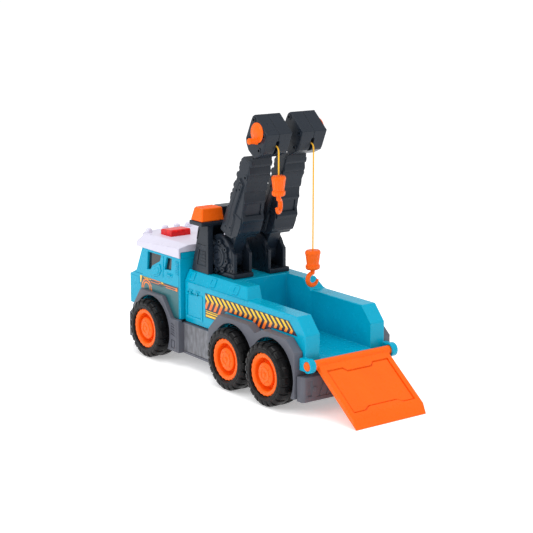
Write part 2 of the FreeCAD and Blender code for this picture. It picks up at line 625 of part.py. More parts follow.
def make_light_bar():
    base = new_body("light_bar_base")
    slab(base, "XY_Plane", [rectangle("bar_rear", "-bar_half", "bar_front", "bar_half")],
         "bar_low", "bar_top")
    slab(base, "XY_Plane", [rectangle("bar_rear + 4", "-block_half", "bar_front - 2",
                                      "block_half")], "bar_top", "beacon_top - 0.4")
    for side_name, side in SIDES.items():
        body = new_body(f"beacon_{side_name}")
        low, high = span(side, "beacon_inner", "bar_half - 0.6")
        bottom = attached_sketch(body, "XY_Plane", "bar_top + 0.05")
        draw_polygon(bottom, rectangle("bar_rear + 0.6", low, "bar_front - 0.6", high))
        low, high = span(side, "beacon_inner + 1", "bar_half - 2.4")
        top = attached_sketch(body, "XY_Plane", "beacon_top")
        draw_polygon(top, rectangle("bar_rear + 2.4", low, "bar_front - 4.4", high))
        loft = body.newObject("PartDesign::AdditiveLoft", body.Label + "_loft")
        loft.Profile = bottom
        loft.Sections = [top]
        loft.Ruled = True
        doc.recompute()


# ------------------------------------------------------------- boom brackets

def make_bracket(side_name, side):
    body = new_body(f"boom_bracket_{side_name}")
    inner, outer = ("inner_cheek_in", "inner_cheek_out"), ("outer_cheek_in", "outer_cheek_out")
    slab(body, "XZ_Plane", [rectangle("bracket_rear", "bracket_floor", "bracket_front",
                                      "bracket_step")], *span(side, "inner_cheek_in", "foot_out"))
    for cheek in (inner, outer):
        wide = span(side, *cheek)
        slab(body, "XZ_Plane", [[("post_rear", "bracket_floor"),
                                 ("bracket_front - 1", "bracket_floor"),
                                 ("bracket_front - 1", "pivot_height"),
                                 ("pivot_place + 8", "pivot_height + 17"),
                                 ("pivot_place - 8", "pivot_height + 17"),
                                 ("post_rear", "post_top")]], *wide)
        slab(body, "XZ_Plane", [(("pivot_place", "pivot_height"), "cheek_radius")], *wide)
    slab(body, "XY_Plane", [rectangle("0", "-40", "80", "40")], "bracket_floor - 9",
         "bracket_floor", cut=True)
    beside_cap = span(side, "outer_cheek_out", "foot_out + 1")
    slab(body, "XZ_Plane", [(("pivot_place", "pivot_height"), "cap_radius + 0.3")], *beside_cap,
         cut=True)
    pin = span(side, "inner_cheek_in", "outer_cheek_out")
    slab(body, "XZ_Plane", [(("pivot_place", "pivot_height"), "pivot_radius")], *pin)


def make_hub_cap(side_name, side):
    """A raised ring with eight screw bosses, on the outer end of the pivot."""
    body = new_body(f"hub_cap_{side_name}")
    disc = span(side, "outer_cheek_out + 0.05", "cap_outside - 1")
    slab(body, "XZ_Plane", [(("0", "0"), "cap_radius - 2.6")], *disc)
    ring = span(side, "cap_outside - 1.2", "cap_outside")
    slab(body, "XZ_Plane", [(("0", "0"), "9.5"), (("0", "0"), "7.6")], *ring)
    bosses = span(side, "outer_cheek_out + 0.05", "cap_outside - 0.3")
    boss = slab(body, "XZ_Plane", [(("boss_circle", "0"), "boss_radius")], *bosses)
    pattern = body.newObject("PartDesign::PolarPattern", body.Label + "_bosses")
    pattern.Originals = [boss]
    pattern.Axis = (body.Origin.OriginFeatures[1], [""])
    pattern.Angle = 360
    pattern.Occurrences = 8
    body.Tip = pattern
    doc.recompute()
    place(body, "pivot_place", "0", "pivot_height", "-lean")


# ------------------------------------------------------------------- booms
# Built upright: the pivot at the origin, the arm along +Z, its front edge towards
# +X.  Then turned by the lean angle and moved to the pivot.

def onto_boom(item):
    place(item, "pivot_place", "0", "pivot_height", "-lean")


LOWER_ARM = [("front_edge", "arm_foot"), ("front_edge", "arm_joint + 2"),
             ("-15.7", "arm_joint + 2"), ("-17.1", "42.8"), ("-16.9", "33.8"), ("-10.6", "26.8"),
             ("-3.3", "arm_foot")]
UPPER_ARM = [("front_edge - 0.3", "arm_joint"), ("front_edge - 0.5", "arm_end"),
             ("-4.6", "arm_end"), ("-5.4", "94.8"), ("-8.1", "88.8"), ("-7.7", "76.8"),
             ("-10.9", "67.8"), ("-14.9", "arm_joint + 2"), ("-14.9", "arm_joint")]
SIDE_PLATE = [("4.6", "arm_foot + 1.5"), ("4.4", "75.8"), ("2.4", "83.3"), ("-5", "80.3"),
              ("-5", "49.2"), ("-7.6", "46.6"), ("-9", "arm_foot + 4")]
HEAD = [("6.8", "117.5"), ("8.8", "121"), ("9", "138.4"), ("8.6", "143"), ("6.6", "145.8"),
        ("-16.8", "139.6"), ("-18.4", "124.8"), ("-17.8", "120.6"), ("-9.6", "head_low"),
        ("1", "head_low + 1.7")]
HEAD_HOLLOW = [("5.6", "119.6"), ("6.8", "122"), ("7", "139"), ("6", "143.6"),
               ("-14.4", "138.2"), ("-15.6", "126"), ("-8", "head_low + 4.2"),
               ("0.4", "head_low + 4.6")]


WINCH_AXIS = ("-winch_back", "winch")


def make_arm(side_name, side):
    body = new_body(f"boom_arm_{side_name}")
    barrel = span(side, "barrel_in", "barrel_out")
    wide = span(side, "arm_in", "arm_out")
    narrow = span(side, "arm_in + 0.6", "arm_out - 0.6")
    slab(body, "XZ_Plane", [(("0", "0"), "barrel_radius")], *barrel)
    slab(body, "XZ_Plane", [rectangle("-9.6", "0", "6.5", "arm_foot + 4")], *barrel)
    slab(body, "XZ_Plane", [LOWER_ARM], *wide)
    slab(body, "XZ_Plane", [UPPER_ARM], *narrow)
    slab(body, "XZ_Plane", [SIDE_PLATE], *span(side, "arm_out - 2", "plate_out"))
    slab(body, "XZ_Plane", [SIDE_PLATE], *span(side, "plate_in", "arm_in + 2"))
    slab(body, "XZ_Plane", [rectangle("-neck_back", "arm_end - 1", "5.5", "head_low - 0.2")],
         *span(side, "boom_mid - neck_half", "boom_mid + neck_half"))
    scallop = slab(body, "XZ_Plane", [(("front_edge + 0.6", "60.8"), "3.3")],
                   *span(side, "arm_in + 2.4", "arm_out - 2.4"))
    pattern = body.newObject("PartDesign::LinearPattern", body.Label + "_scallops")
    pattern.Originals = [scallop]
    pattern.Direction = (body.Origin.OriginFeatures[2], [""])
    pattern.Length = 32.7
    pattern.Occurrences = 4
    body.Tip = pattern
    doc.recompute()
    slab(body, "XZ_Plane", [(("0", "0"), "pivot_radius + running_gap")], *barrel, cut=True)
    onto_boom(body)


def make_head(side_name, side):
    """Two half shells that meet on the boom's middle plane, around the winch drum."""
    halves = {"inner": ("head_in", "boom_mid - shell_gap"),
              "outer": ("boom_mid + shell_gap", "head_out")}
    hollows = {"inner": ("head_in + head_wall", "boom_mid + 1"),
               "outer": ("boom_mid - 1", "head_out - head_wall")}
    for half, reach in halves.items():
        body = new_body(f"head_{half}_{side_name}")
        wide = span(side, *reach)
        slab(body, "XZ_Plane", [HEAD], *wide)
        face = "head_in" if half == "inner" else "head_out"
        inwards = "+" if half == "inner" else "-"
        rear_corner = [("-20", mirrored(side, face)), ("-16.2", mirrored(side, face)),
                       ("-20", mirrored(side, f"{face} {inwards} 2"))]
        slab(body, "XY_Plane", [rear_corner], "head_low - 1", "147", cut=True)
        slab(body, "XZ_Plane", [HEAD_HOLLOW], *span(side, *hollows[half]), cut=True)
        slab(body, "XZ_Plane", [rectangle("-20", "119.4", "-6", "132.6")],
             *span(side, "boom_mid - 1.6", "boom_mid + 1.6"), cut=True)
        if half == "outer":
            slab(body, "XZ_Plane", [(WINCH_AXIS, "shaft_radius + running_gap")],
                 *span(side, "head_out - 4", "head_out + 1"), cut=True)
        else:
            slab(body, "XZ_Plane", [(WINCH_AXIS, "shaft_radius + running_gap")],
                 *span(side, "head_in + 0.8", "head_in + 3"), cut=True)
        onto_boom(body)


def make_winch(side_name, side):
    """The crank with its shaft, and the drum that it turns."""
    crank = new_body(f"crank_{side_name}")
    slab(crank, "XZ_Plane", [(WINCH_AXIS, "shaft_radius")],
         *span(side, "head_in + 1", "disc_in + 0.5"))
    slab(crank, "XZ_Plane", [(WINCH_AXIS, "disc_radius")], *span(side, "disc_in", "disc_out"))
    knob = (f"-winch_back - {side} * knob_throw * 0.444", "winch - knob_throw * 0.896")
    slab(crank, "XZ_Plane", [(knob, "knob_radius")], *span(side, "disc_out - 1", "knob_end"))
    onto_boom(crank)
    drum = new_body(f"winch_drum_{side_name}")
    slab(drum, "XZ_Plane", [(WINCH_AXIS, "drum_radius")],
         *span(side, "boom_mid - drum_half", "boom_mid + drum_half"))
    for low, high in (("boom_mid - drum_half - 1", "boom_mid - drum_half"),
                      ("boom_mid + drum_half", "boom_mid + drum_half + 1")):
        slab(drum, "XZ_Plane", [(WINCH_AXIS, "flange_radius")], *span(side, low, high))
    slab(drum, "XZ_Plane", [(WINCH_AXIS, "shaft_radius")],
         *span(side, "boom_mid - drum_half - 2", "boom_mid + drum_half + 2"), cut=True)
    onto_boom(drum)


# -------------------------------------------------------------- hoist lines

LINE_START = (125.0, -9.6)


def line_route(side, block_top):
    """From inside the head out through its rear slot, then straight down to the block."""
    lean = math.radians(number("lean"))
    middle = number("boom_mid") * side

    def from_pivot(along, forward):
        return Vector(number("pivot_place") - along * math.sin(lean) + forward * math.cos(lean),
                      middle,
                      number("pivot_height") + along * math.cos(lean) + forward * math.sin(lean))

    inside = from_pivot(LINE_START[0], LINE_START[1])
    drop = number("line_place")
    corner = Vector(drop, middle, inside.z - 1.2)
    return [inside, corner, Vector(drop, middle, block_top)]


def rounded_path(points):
    """Straight runs joined by tangent arcs, each as large as its two runs allow."""
    edges, start, length = [], points[0], 0.0
    for before, corner, after in zip(points, points[1:], points[2:]):
        back, ahead = before - corner, after - corner
        half_turn = (math.pi - back.getAngle(ahead)) / 2
        tangent = 0.45 * min(back.Length, ahead.Length)
        radius = tangent / math.tan(half_turn)
        entry = corner + back.normalize() * tangent
        leave = corner + ahead.normalize() * tangent
        inwards = (back + ahead).normalize()
        centre = corner + inwards * (radius / math.cos(half_turn))
        crown = centre - inwards * radius
        edges.append(Part.LineSegment(start, entry).toShape())
        edges.append(Part.Arc(entry, crown, leave).toShape())
        start = leave
        print("line bend radius", round(radius, 2))
    edges.append(Part.LineSegment(start, points[-1]).toShape())
    return Part.Wire(edges)


def make_line(side_name, side):
    path = rounded_path(line_route(side, number(f"{side_name}_block_top")))
    first = path.Edges[0]
    start = first.valueAt(first.FirstParameter)
    section = Part.Circle(start, first.tangentAt(first.FirstParameter), number("line_radius"))
    tube = path.makePipeShell([Part.Wire(section.toShape())], True, False)
    expected = math.pi * number("line_radius") ** 2 * path.Length
    if abs(tube.Volume - expected) > 0.02 * expected:
        raise RuntimeError("the hoist line's volume is wrong")
    print(side_name, "hoist line length", round(path.Length, 1))
    item = doc.addObject("Part::Feature", f"hoist_line_{side_name}")
    item.Label = f"hoist_line_{side_name}"
    item.Shape = tube
    nodes.append(item)


def make_hook_block(side_name, side):
    """The pulley block is turned about its own upright axis, and the hook hangs below it."""
    top = f"{side_name}_block_top"
    block = new_body(f"pulley_block_{side_name}")
    sketch = attached_sketch(block, "XZ_Plane", "0")
    draw_polygon(sketch, [("0", "0"), ("block_width / 2 - 0.9", "0"),
                          ("block_width / 2", "-1.2"), ("block_width / 2", "-3.2"),
                          ("block_width / 2 - 1.4", "-block_height + 4.4"),
                          ("block_width / 2 - 0.2", "-block_height + 4"),
                          ("block_width / 2 - 0.2", "-block_height + 0.8"),
                          ("block_width / 2 - 1", "-block_height"), ("0", "-block_height")])
    turned = block.newObject("PartDesign::Revolution", block.Label + "_turn")
    turned.Profile = sketch
    turned.ReferenceAxis = (sketch, ["V_Axis"])
    turned.Angle = 360
    doc.recompute()
    place(block, "line_place", mirrored(side, "boom_mid"), top)
    make_hook(side_name, side, top)


def make_hook(side_name, side, top):
    """A round bar bent into a J: a shank, then a loop turned about the shank's own axis."""
    radius, section = number("hook_loop"), number("hook_section")
    centre_drop = number("block_height + hook_drop")
    centre = Vector(0, 0, -centre_drop)
    shank_top = Vector(0, 0, -number("block_height"))
    top_point = centre + Vector(0, 0, radius)
    about = Rotation(Vector(0, 0, 1), number(f"{side_name}_hook_turn"))
    across = about.multVec(Vector(0, -side, 0))

    def on_loop(angle):
        turn = math.radians(angle)
        return centre + across * (radius * math.sin(turn)) + Vector(0, 0, radius * math.cos(turn))

    wire = Part.Wire([Part.LineSegment(shank_top, top_point).toShape()])
    shank = wire.Edges[0]
    bar = Part.makeCylinder(section, shank.Length, shank_top, Vector(0, 0, -1))
    bend = Part.Wire(Part.Arc(on_loop(0), on_loop(120), on_loop(245)).toShape())
    edge = bend.Edges[0]
    ring = Part.Circle(on_loop(0), edge.tangentAt(edge.FirstParameter), section)
    loop = bend.makePipeShell([Part.Wire(ring.toShape())], True, False)
    ball = Part.makeSphere(section, on_loop(245))
    knuckle = Part.makeSphere(section, on_loop(0))
    item = doc.addObject("Part::Feature", f"hook_{side_name}")
    item.Label = f"hook_{side_name}"
    item.Shape = bar.fuse([loop, ball, knuckle]).removeSplitter()
    place(item, "line_place", mirrored(side, "boom_mid"), top)
    nodes.append(item)


# --------------------------------------------------------------------- build

make_chassis()
make_battery_bay()
make_bumpers()
make_bed_body()
make_ramp()
make_cab()
make_roof()
make_button()
make_light_bar()
make_wheels()
for name, sign in SIDES.items():
    make_fender(name, sign)
    make_tower(name, sign)
    make_bracket(name, sign)
    make_hub_cap(name, sign)
    make_arm(name, sign)
    make_head(name, sign)
    make_winch(name, sign)
    make_line(name, sign)
    make_hook_block(name, sign)
doc.recompute()

for item in doc.Objects:
    if "Invalid" in item.State or "Error" in item.State:
        raise RuntimeError(f"{item.Label} failed: {item.State}")
for node in nodes:
    if node.Shape.isNull() or not node.Shape.isValid():
        raise RuntimeError(f"{node.Label} has no valid shape")

os.makedirs("parts", exist_ok=True)
for node in nodes:
    node.Shape.exportStep(f"parts/{node.Label}.step")
whole = Part.makeCompound([node.Shape for node in nodes]).BoundBox
print(len(nodes), "nodes; X", round(whole.XMin, 2), round(whole.XMax, 2), "Y", round(whole.YMin, 2),
      round(whole.YMax, 2), "Z", round(whole.ZMin, 2), round(whole.ZMax, 2))
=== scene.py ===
import json
import math
import bmesh
import bpy
from mathutils import Matrix, Vector


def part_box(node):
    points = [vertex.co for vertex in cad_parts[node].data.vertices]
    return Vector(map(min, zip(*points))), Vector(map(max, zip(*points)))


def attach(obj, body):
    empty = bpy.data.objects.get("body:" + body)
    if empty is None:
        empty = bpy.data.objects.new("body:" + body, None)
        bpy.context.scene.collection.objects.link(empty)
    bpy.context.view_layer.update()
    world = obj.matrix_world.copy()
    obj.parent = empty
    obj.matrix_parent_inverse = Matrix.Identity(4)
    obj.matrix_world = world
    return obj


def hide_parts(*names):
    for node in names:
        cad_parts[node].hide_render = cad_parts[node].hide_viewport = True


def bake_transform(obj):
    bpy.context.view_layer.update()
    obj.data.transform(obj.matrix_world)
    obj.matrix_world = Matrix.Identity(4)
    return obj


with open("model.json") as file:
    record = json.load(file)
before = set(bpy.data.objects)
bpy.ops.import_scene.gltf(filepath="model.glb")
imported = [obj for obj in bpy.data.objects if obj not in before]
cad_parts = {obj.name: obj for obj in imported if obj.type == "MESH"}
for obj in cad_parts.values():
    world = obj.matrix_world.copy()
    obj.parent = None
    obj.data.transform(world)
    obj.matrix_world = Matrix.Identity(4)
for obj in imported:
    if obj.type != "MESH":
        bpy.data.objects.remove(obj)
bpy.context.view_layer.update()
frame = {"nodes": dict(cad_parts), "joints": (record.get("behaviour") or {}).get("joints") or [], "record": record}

# The looks of a toy tow truck.  Shapes are built in millimetres in the truck's own
# axes (+X forward, +Y left, +Z up, ground at zero) and scaled to metres when a piece
# is finished.  Places come from the CAD nodes' boxes and the joints' axes.

MM = 0.001
SIDES = {"left": 1, "right": -1}
AXLES = ("front", "middle", "rear")
RECORD = frame["record"]
HOME = {node: body for body, members in RECORD["behaviour"]["bodies"].items() for node in members}
SLOT = {part["node"]: part["material_slot"] for part in RECORD["subparts"]}
JOINTS = {joint["name"]: joint for joint in frame["joints"]}


def box(node):
    """A CAD node's lowest and highest corners, in millimetres."""
    low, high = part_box(node)
    return low / MM, high / MM


def joint_place(name):
    """A point on a joint's axis, in millimetres."""
    return Vector(JOINTS[name]["pos_m"]) / MM


# ------------------------------------------------------------------ materials

def new_material(name):
    material = bpy.data.materials.new(name)
    material.use_nodes = True
    tree = material.node_tree
    return material, tree, tree.nodes["Principled BSDF"]


def noise(tree, scale, detail=3.0, stretch=(1, 1, 1)):
    """Noise in the piece's own axes; scale is cells per metre."""
    place = tree.nodes.new("ShaderNodeTexCoord")
    mapping = tree.nodes.new("ShaderNodeMapping")
    mapping.inputs["Scale"].default_value = stretch
    texture = tree.nodes.new("ShaderNodeTexNoise")
    texture.inputs["Scale"].default_value = scale
    texture.inputs["Detail"].default_value = detail
    tree.links.new(place.outputs["Object"], mapping.inputs["Vector"])
    tree.links.new(mapping.outputs["Vector"], texture.inputs["Vector"])
    return texture.outputs["Fac"]


def ramp(tree, source, stops):
    """A colour ramp; stops are (position, colour)."""
    node = tree.nodes.new("ShaderNodeValToRGB")
    elements = node.color_ramp.elements
    while len(elements) < len(stops):
        elements.new(0.5)
    for element, (position, colour) in zip(elements, stops):
        element.position = position
        element.color = (*colour, 1)
    tree.links.new(source, node.inputs["Fac"])
    return node.outputs["Color"]


def paint(tree, shader, source, low, high):
    """The base colour, from one tint to another through the middle of the source's range."""
    tree.links.new(ramp(tree, source, [(0.3, low), (0.7, high)]), shader.inputs["Base Color"])


def spread(tree, source, low, high):
    """A value from low to high through the middle of the source's range."""
    node = tree.nodes.new("ShaderNodeMapRange")
    node.inputs["From Min"].default_value = 0.3
    node.inputs["From Max"].default_value = 0.7
    node.inputs["To Min"].default_value = low
    node.inputs["To Max"].default_value = high
    tree.links.new(source, node.inputs["Value"])
    return node.outputs["Result"]


def add_bump(tree, shader, heights, strength, distance):
    """Chain bumps from several height sources."""
    normal = None
    for height in heights:
        node = tree.nodes.new("ShaderNodeBump")
        node.inputs["Strength"].default_value = strength
        node.inputs["Distance"].default_value = distance
        tree.links.new(height, node.inputs["Height"])
        if normal is not None:
            tree.links.new(normal, node.inputs["Normal"])
        normal = node.outputs["Normal"]
    tree.links.new(normal, shader.inputs["Normal"])


def shade(colour, factor):
    return tuple(min(1.0, channel * factor) for channel in colour)


def plastic(name, colour, rough, grain=2600, relief=0.12, mottle=0.06, coat=0.0, shine=0.2,
            stretch=(1, 1, 1)):
    """Moulded plastic: faint flow marks in the colour, a fine moulded grain and uneven gloss."""
    material, tree, shader = new_material(name)
    flow = noise(tree, 60, 4, stretch)
    fine = noise(tree, grain, 2, stretch)
    paint(tree, shader, flow, shade(colour, 1 - mottle), shade(colour, 1 + mottle))
    tree.links.new(spread(tree, noise(tree, 180, 5), rough - 0.05, rough + 0.06),
                   shader.inputs["Roughness"])
    shader.inputs["Specular IOR Level"].default_value = shine
    shader.inputs["Coat Weight"].default_value = coat
    shader.inputs["Coat Roughness"].default_value = 0.12
    add_bump(tree, shader, [fine, flow], relief, 0.00008)
    return material


def streaked_grey():
    """The side skirts' panel: a rough cast surface with upright streaks."""
    material, tree, shader = new_material("skirt_cast_grey")
    streak = noise(tree, 240, 5, (1, 1, 0.45))
    pits = noise(tree, 900, 3)
    colours = [(0.30, (0.10, 0.103, 0.115)), (0.52, (0.16, 0.165, 0.185)), (0.72, (0.23, 0.24, 0.265))]
    tree.links.new(ramp(tree, streak, colours), shader.inputs["Base Color"])
    shader.inputs["Roughness"].default_value = 0.55
    add_bump(tree, shader, [streak, pits], 0.5, 0.0004)
    return material


def tyre_vinyl():
    material, tree, shader = new_material("tyre_vinyl")
    dust = noise(tree, 130, 6)
    colours = [(0.35, (0.004, 0.004, 0.0045)), (0.75, (0.010, 0.010, 0.011))]
    tree.links.new(ramp(tree, dust, colours), shader.inputs["Base Color"])
    tree.links.new(spread(tree, noise(tree, 300, 4), 0.18, 0.28), shader.inputs["Roughness"])
    shader.inputs["Specular IOR Level"].default_value = 0.14
    add_bump(tree, shader, [noise(tree, 1800, 3)], 0.15, 0.0002)
    return material


def smoked_glazing():
    material, tree, shader = new_material("smoked_glazing")
    paint(tree, shader, noise(tree, 90, 2), (0.010, 0.011, 0.014), (0.020, 0.021, 0.025))
    shader.inputs["Roughness"].default_value = 0.10
    add_bump(tree, shader, [noise(tree, 300, 2)], 0.05, 0.0002)
    return material


def red_lens_plastic():
    material, tree, shader = new_material("red_lens_plastic")
    depth = noise(tree, 220, 3)
    colours = [(0.3, (0.50, 0.002, 0.003)), (0.7, (0.78, 0.006, 0.006))]
    colour = ramp(tree, depth, colours)
    tree.links.new(colour, shader.inputs["Base Color"])
    # The lens also gives off a faint glow in its own colour: painted light, not a lamp that is switched on.
    tree.links.new(colour, shader.inputs["Emission Color"])
    shader.inputs["Emission Strength"].default_value = 0.12
    shader.inputs["Roughness"].default_value = 0.22
    shader.inputs["Specular IOR Level"].default_value = 0.3
    add_bump(tree, shader, [noise(tree, 700, 1, (1, 0.15, 1))], 0.2, 0.0002)
    return material


def clear_lamp_plastic():
    material, tree, shader = new_material("clear_lamp_plastic")
    flutes = noise(tree, 500, 1, (1, 3, 0.05))
    paint(tree, shader, flutes, (0.62, 0.62, 0.58), (0.86, 0.86, 0.82))
    shader.inputs["Roughness"].default_value = 0.12
    shader.inputs["Coat Weight"].default_value = 0.8
    add_bump(tree, shader, [flutes], 0.4, 0.0003)
    return material


def metal(name, colour, rough, grain):
    """Drawn or turned metal with fine marks along its length."""
    material, tree, shader = new_material(name)
    marks = noise(tree, grain, 4, (1, 0.08, 1))
    paint(tree, shader, marks, shade(colour, 0.85), colour)
    tree.links.new(spread(tree, marks, rough - 0.06, rough + 0.1), shader.inputs["Roughness"])
    shader.inputs["Metallic"].default_value = 1.0
    add_bump(tree, shader, [marks], 0.1, 0.0001)
    return material


def cord_fibre():
    material, tree, shader = new_material("cord_fibre")
    fibres = noise(tree, 3200, 3, (1, 1, 0.35))
    paint(tree, shader, fibres, (0.88, 0.42, 0.006), (1.0, 0.58, 0.012))
    shader.inputs["Roughness"].default_value = 0.72
    shader.inputs["Sheen Weight"].default_value = 0.25
    add_bump(tree, shader, [fibres], 0.5, 0.0001)
    return material


def printed(name, colour, second=None, band=None):
    """Printed film: one ink, or two inks that meet in a band of heights in millimetres."""
    material, tree, shader = new_material(name)
    if second is None:
        paint(tree, shader, noise(tree, 400, 3), shade(colour, 0.92), shade(colour, 1.06))
    else:
        place = tree.nodes.new("ShaderNodeTexCoord")
        split = tree.nodes.new("ShaderNodeSeparateXYZ")
        height = tree.nodes.new("ShaderNodeMapRange")
        height.inputs["From Min"].default_value = band[0] * MM
        height.inputs["From Max"].default_value = band[1] * MM
        tree.links.new(place.outputs["Object"], split.inputs["Vector"])
        tree.links.new(split.outputs["Z"], height.inputs["Value"])
        both = ramp(tree, height.outputs["Result"], [(0.0, colour), (1.0, second)])
        tree.links.new(both, shader.inputs["Base Color"])
    tree.links.new(spread(tree, noise(tree, 260, 3), 0.28, 0.36), shader.inputs["Roughness"])
    add_bump(tree, shader, [noise(tree, 1500, 2)], 0.06, 0.0001)
    return material


MATERIALS = {
    "teal_body": plastic("teal_plastic", (0.0, 0.37, 0.56), 0.24, relief=0.03, mottle=0.03, shine=0.2),
    "grey_trim": plastic("grey_plastic", (0.115, 0.12, 0.145), 0.40, grain=1500, relief=0.3),
    "roof_white": plastic("roof_plastic", (0.66, 0.64, 0.76), 0.32, mottle=0.02, coat=0.1),
    "slate": plastic("slate_plastic", (0.012, 0.018, 0.028), 0.30, grain=1700, relief=0.12, shine=0.25),
    "orange": plastic("orange_plastic", (0.98, 0.135, 0.006), 0.28, relief=0.05, mottle=0.04, shine=0.16),
    "tyre_black": tyre_vinyl(),
    "steel": metal("bright_steel", (0.62, 0.62, 0.64), 0.28, 900),
    "cord_yellow": cord_fibre(),
    "dark_glazing": smoked_glazing(),
    "red_lens": red_lens_plastic(),
    "clear_lens": clear_lamp_plastic(),
    "board_green": plastic("board_mask", (0.01, 0.12, 0.035), 0.35, grain=900, relief=0.4),
    "cell_wrap": plastic("cell_sleeve", (0.05, 0.05, 0.06), 0.25, coat=0.5),
}
GRILLE_BLACK = plastic("grille_plastic", (0.012, 0.013, 0.015), 0.34)
SKIRT_GREY = streaked_grey()
INK_NAVY = printed("ink_navy", (0.012, 0.011, 0.035))
INK_HAZARD = printed("ink_hazard", (1.0, 0.17, 0.003), (1.0, 0.62, 0.008), (65.0, 70.0))
INK_YELLOW = printed("ink_yellow", (1.0, 0.58, 0.01))
INK_ORANGE = printed("ink_orange", (1.0, 0.22, 0.005))
INK_DEEP_TEAL = printed("ink_deep_teal", (0.026, 0.135, 0.155))
INK_BAND = printed("ink_band", (0.016, 0.050, 0.075))
ROOF_LAMP = plastic("roof_lamp_plastic", (0.72, 0.71, 0.84), 0.18, mottle=0.03, coat=0.5)


# --------------------------------------------------------------- mesh building

# A profile's two places and its place along an axis, as X, Y, Z.
PUT = {"Y": lambda u, v, w: (u, w, v), "Z": lambda u, v, w: (u, v, w), "X": lambda u, v, w: (w, u, v)}


def read_node(node):
    """The CAD node's solid as a welded mesh whose flat faces are whole."""
    mesh = bmesh.new()
    mesh.from_mesh(frame["nodes"][node].data)
    bmesh.ops.scale(mesh, vec=(1 / MM,) * 3, verts=mesh.verts)
    return cleaned(mesh)


def cleaned(mesh):
    """Doubled points welded, and flat faces made whole."""
    bmesh.ops.remove_doubles(mesh, verts=mesh.verts, dist=0.003)
    bmesh.ops.dissolve_limit(mesh, angle_limit=math.radians(0.7), verts=mesh.verts, edges=mesh.edges)
    return mesh


def prism(outline, low, high, axis="Y"):
    """A straight prism over an outline, between two places on its axis."""
    mesh = bmesh.new()
    ends = [[mesh.verts.new(PUT[axis](u, v, w)) for u, v in outline] for w in (low, high)]
    mesh.faces.new(ends[0])
    mesh.faces.new(ends[1])
    for index in range(len(outline)):
        after = (index + 1) % len(outline)
        mesh.faces.new((ends[0][index], ends[0][after], ends[1][after], ends[1][index]))
    bmesh.ops.recalc_face_normals(mesh, faces=mesh.faces)
    return mesh


def circle(across, up, radius, steps=32, start=0.0):
    return [(across + radius * math.cos(start + math.tau * i / steps),
             up + radius * math.sin(start + math.tau * i / steps)) for i in range(steps)]


def oblong(left, low, right, high, radius=0.0, steps=4):
    """A rectangle, with rounded corners when a radius is given."""
    if radius == 0.0:
        return [(left, low), (right, low), (right, high), (left, high)]
    corners = [(right - radius, low + radius, -90), (right - radius, high - radius, 0),
               (left + radius, high - radius, 90), (left + radius, low + radius, 180)]
    return [(u + radius * math.cos(math.radians(turn + 90 * i / steps)),
             v + radius * math.sin(math.radians(turn + 90 * i / steps)))
            for u, v, turn in corners for i in range(steps + 1)]


def lathe(profile, centre, axis="Y", steps=64, wave=None):
    """A closed profile of (radius, place on the axis), turned about the axis."""
    mesh = bmesh.new()
    rings = []
    for step in range(steps):
        turn = math.tau * step / steps
        ring = []
        for radius, along in profile:
            grown = radius + (wave(radius, turn) if wave else 0.0)
            point = PUT[axis](grown * math.cos(turn), grown * math.sin(turn), along)
            ring.append(mesh.verts.new(Vector(point) + Vector(centre)))
        rings.append(ring)
    count = len(profile)
    for step in range(steps):
        ring, following = rings[step], rings[(step + 1) % steps]
        for index in range(count):
            after = (index + 1) % count
            if profile[index][0] == 0 and profile[after][0] == 0:
                continue
            mesh.faces.new((ring[index], ring[after], following[after], following[index]))
    bmesh.ops.remove_doubles(mesh, verts=mesh.verts, dist=0.0005)
    bmesh.ops.recalc_face_normals(mesh, faces=mesh.faces)
    return mesh


def annulus(across, up, inner, outer, low, high, steps=40, teeth=0, tooth=0.0, start=0.0, sweep=math.tau):
    """A flat ring or arc, with square teeth round its rim when asked."""
    outline = []
    for step in range(steps + 1):
        turn = start + sweep * step / steps
        grown = outer + (tooth if teeth and math.cos(teeth * turn) > 0 else 0.0)
        outline.append((across + grown * math.cos(turn), up + grown * math.sin(turn)))
    for step in range(steps, -1, -1):
        turn = start + sweep * step / steps
        outline.append((across + inner * math.cos(turn), up + inner * math.sin(turn)))
    return prism(outline, low, high)


def skin(mesh, rings):
    """Faces from each ring of points to the next, and one face over each end."""
    count = len(rings[0])
    for ring, following in zip(rings, rings[1:]):
        for index in range(count):
            after = (index + 1) % count
            mesh.faces.new((ring[index], ring[after], following[after], following[index]))
    mesh.faces.new(rings[0])
    mesh.faces.new(rings[-1])


def direction(points, index):
    """Where a line of points heads at one of them."""
    return (points[min(index + 1, len(points) - 1)] - points[max(index - 1, 0)]).normalized()


def spoke(across, up, turn):
    """The direction at an angle, in the plane of two crossed directions."""
    return across * math.cos(turn) + up * math.sin(turn)


def ring_round(mesh, middle, across, up, radius, sides):
    """New points evenly round a middle."""
    return [mesh.verts.new(middle + spoke(across, up, math.tau * index / sides) * radius)
            for index in range(sides)]


def tapered_tube(points, radii, sides=16):
    """A closed round bar through points, its radius changing along the way."""
    mesh = bmesh.new()
    rings = []
    for index, (point, radius) in enumerate(zip(points, radii)):
        ahead = direction(points, index)
        across = ahead.cross(Vector((0.9, 0.3, 0.31))).normalized()
        rings.append(ring_round(mesh, point, across, ahead.cross(across), radius, sides))
    skin(mesh, rings)
    bmesh.ops.recalc_face_normals(mesh, faces=mesh.faces)
    return mesh


def joined(*parts):
    """Several closed shells in one mesh."""
    whole = parts[0]
    for part in parts[1:]:
        holder = bpy.data.meshes.new("holder")
        part.to_mesh(holder)
        part.free()
        whole.from_mesh(holder)
        bpy.data.meshes.remove(holder)
    return whole


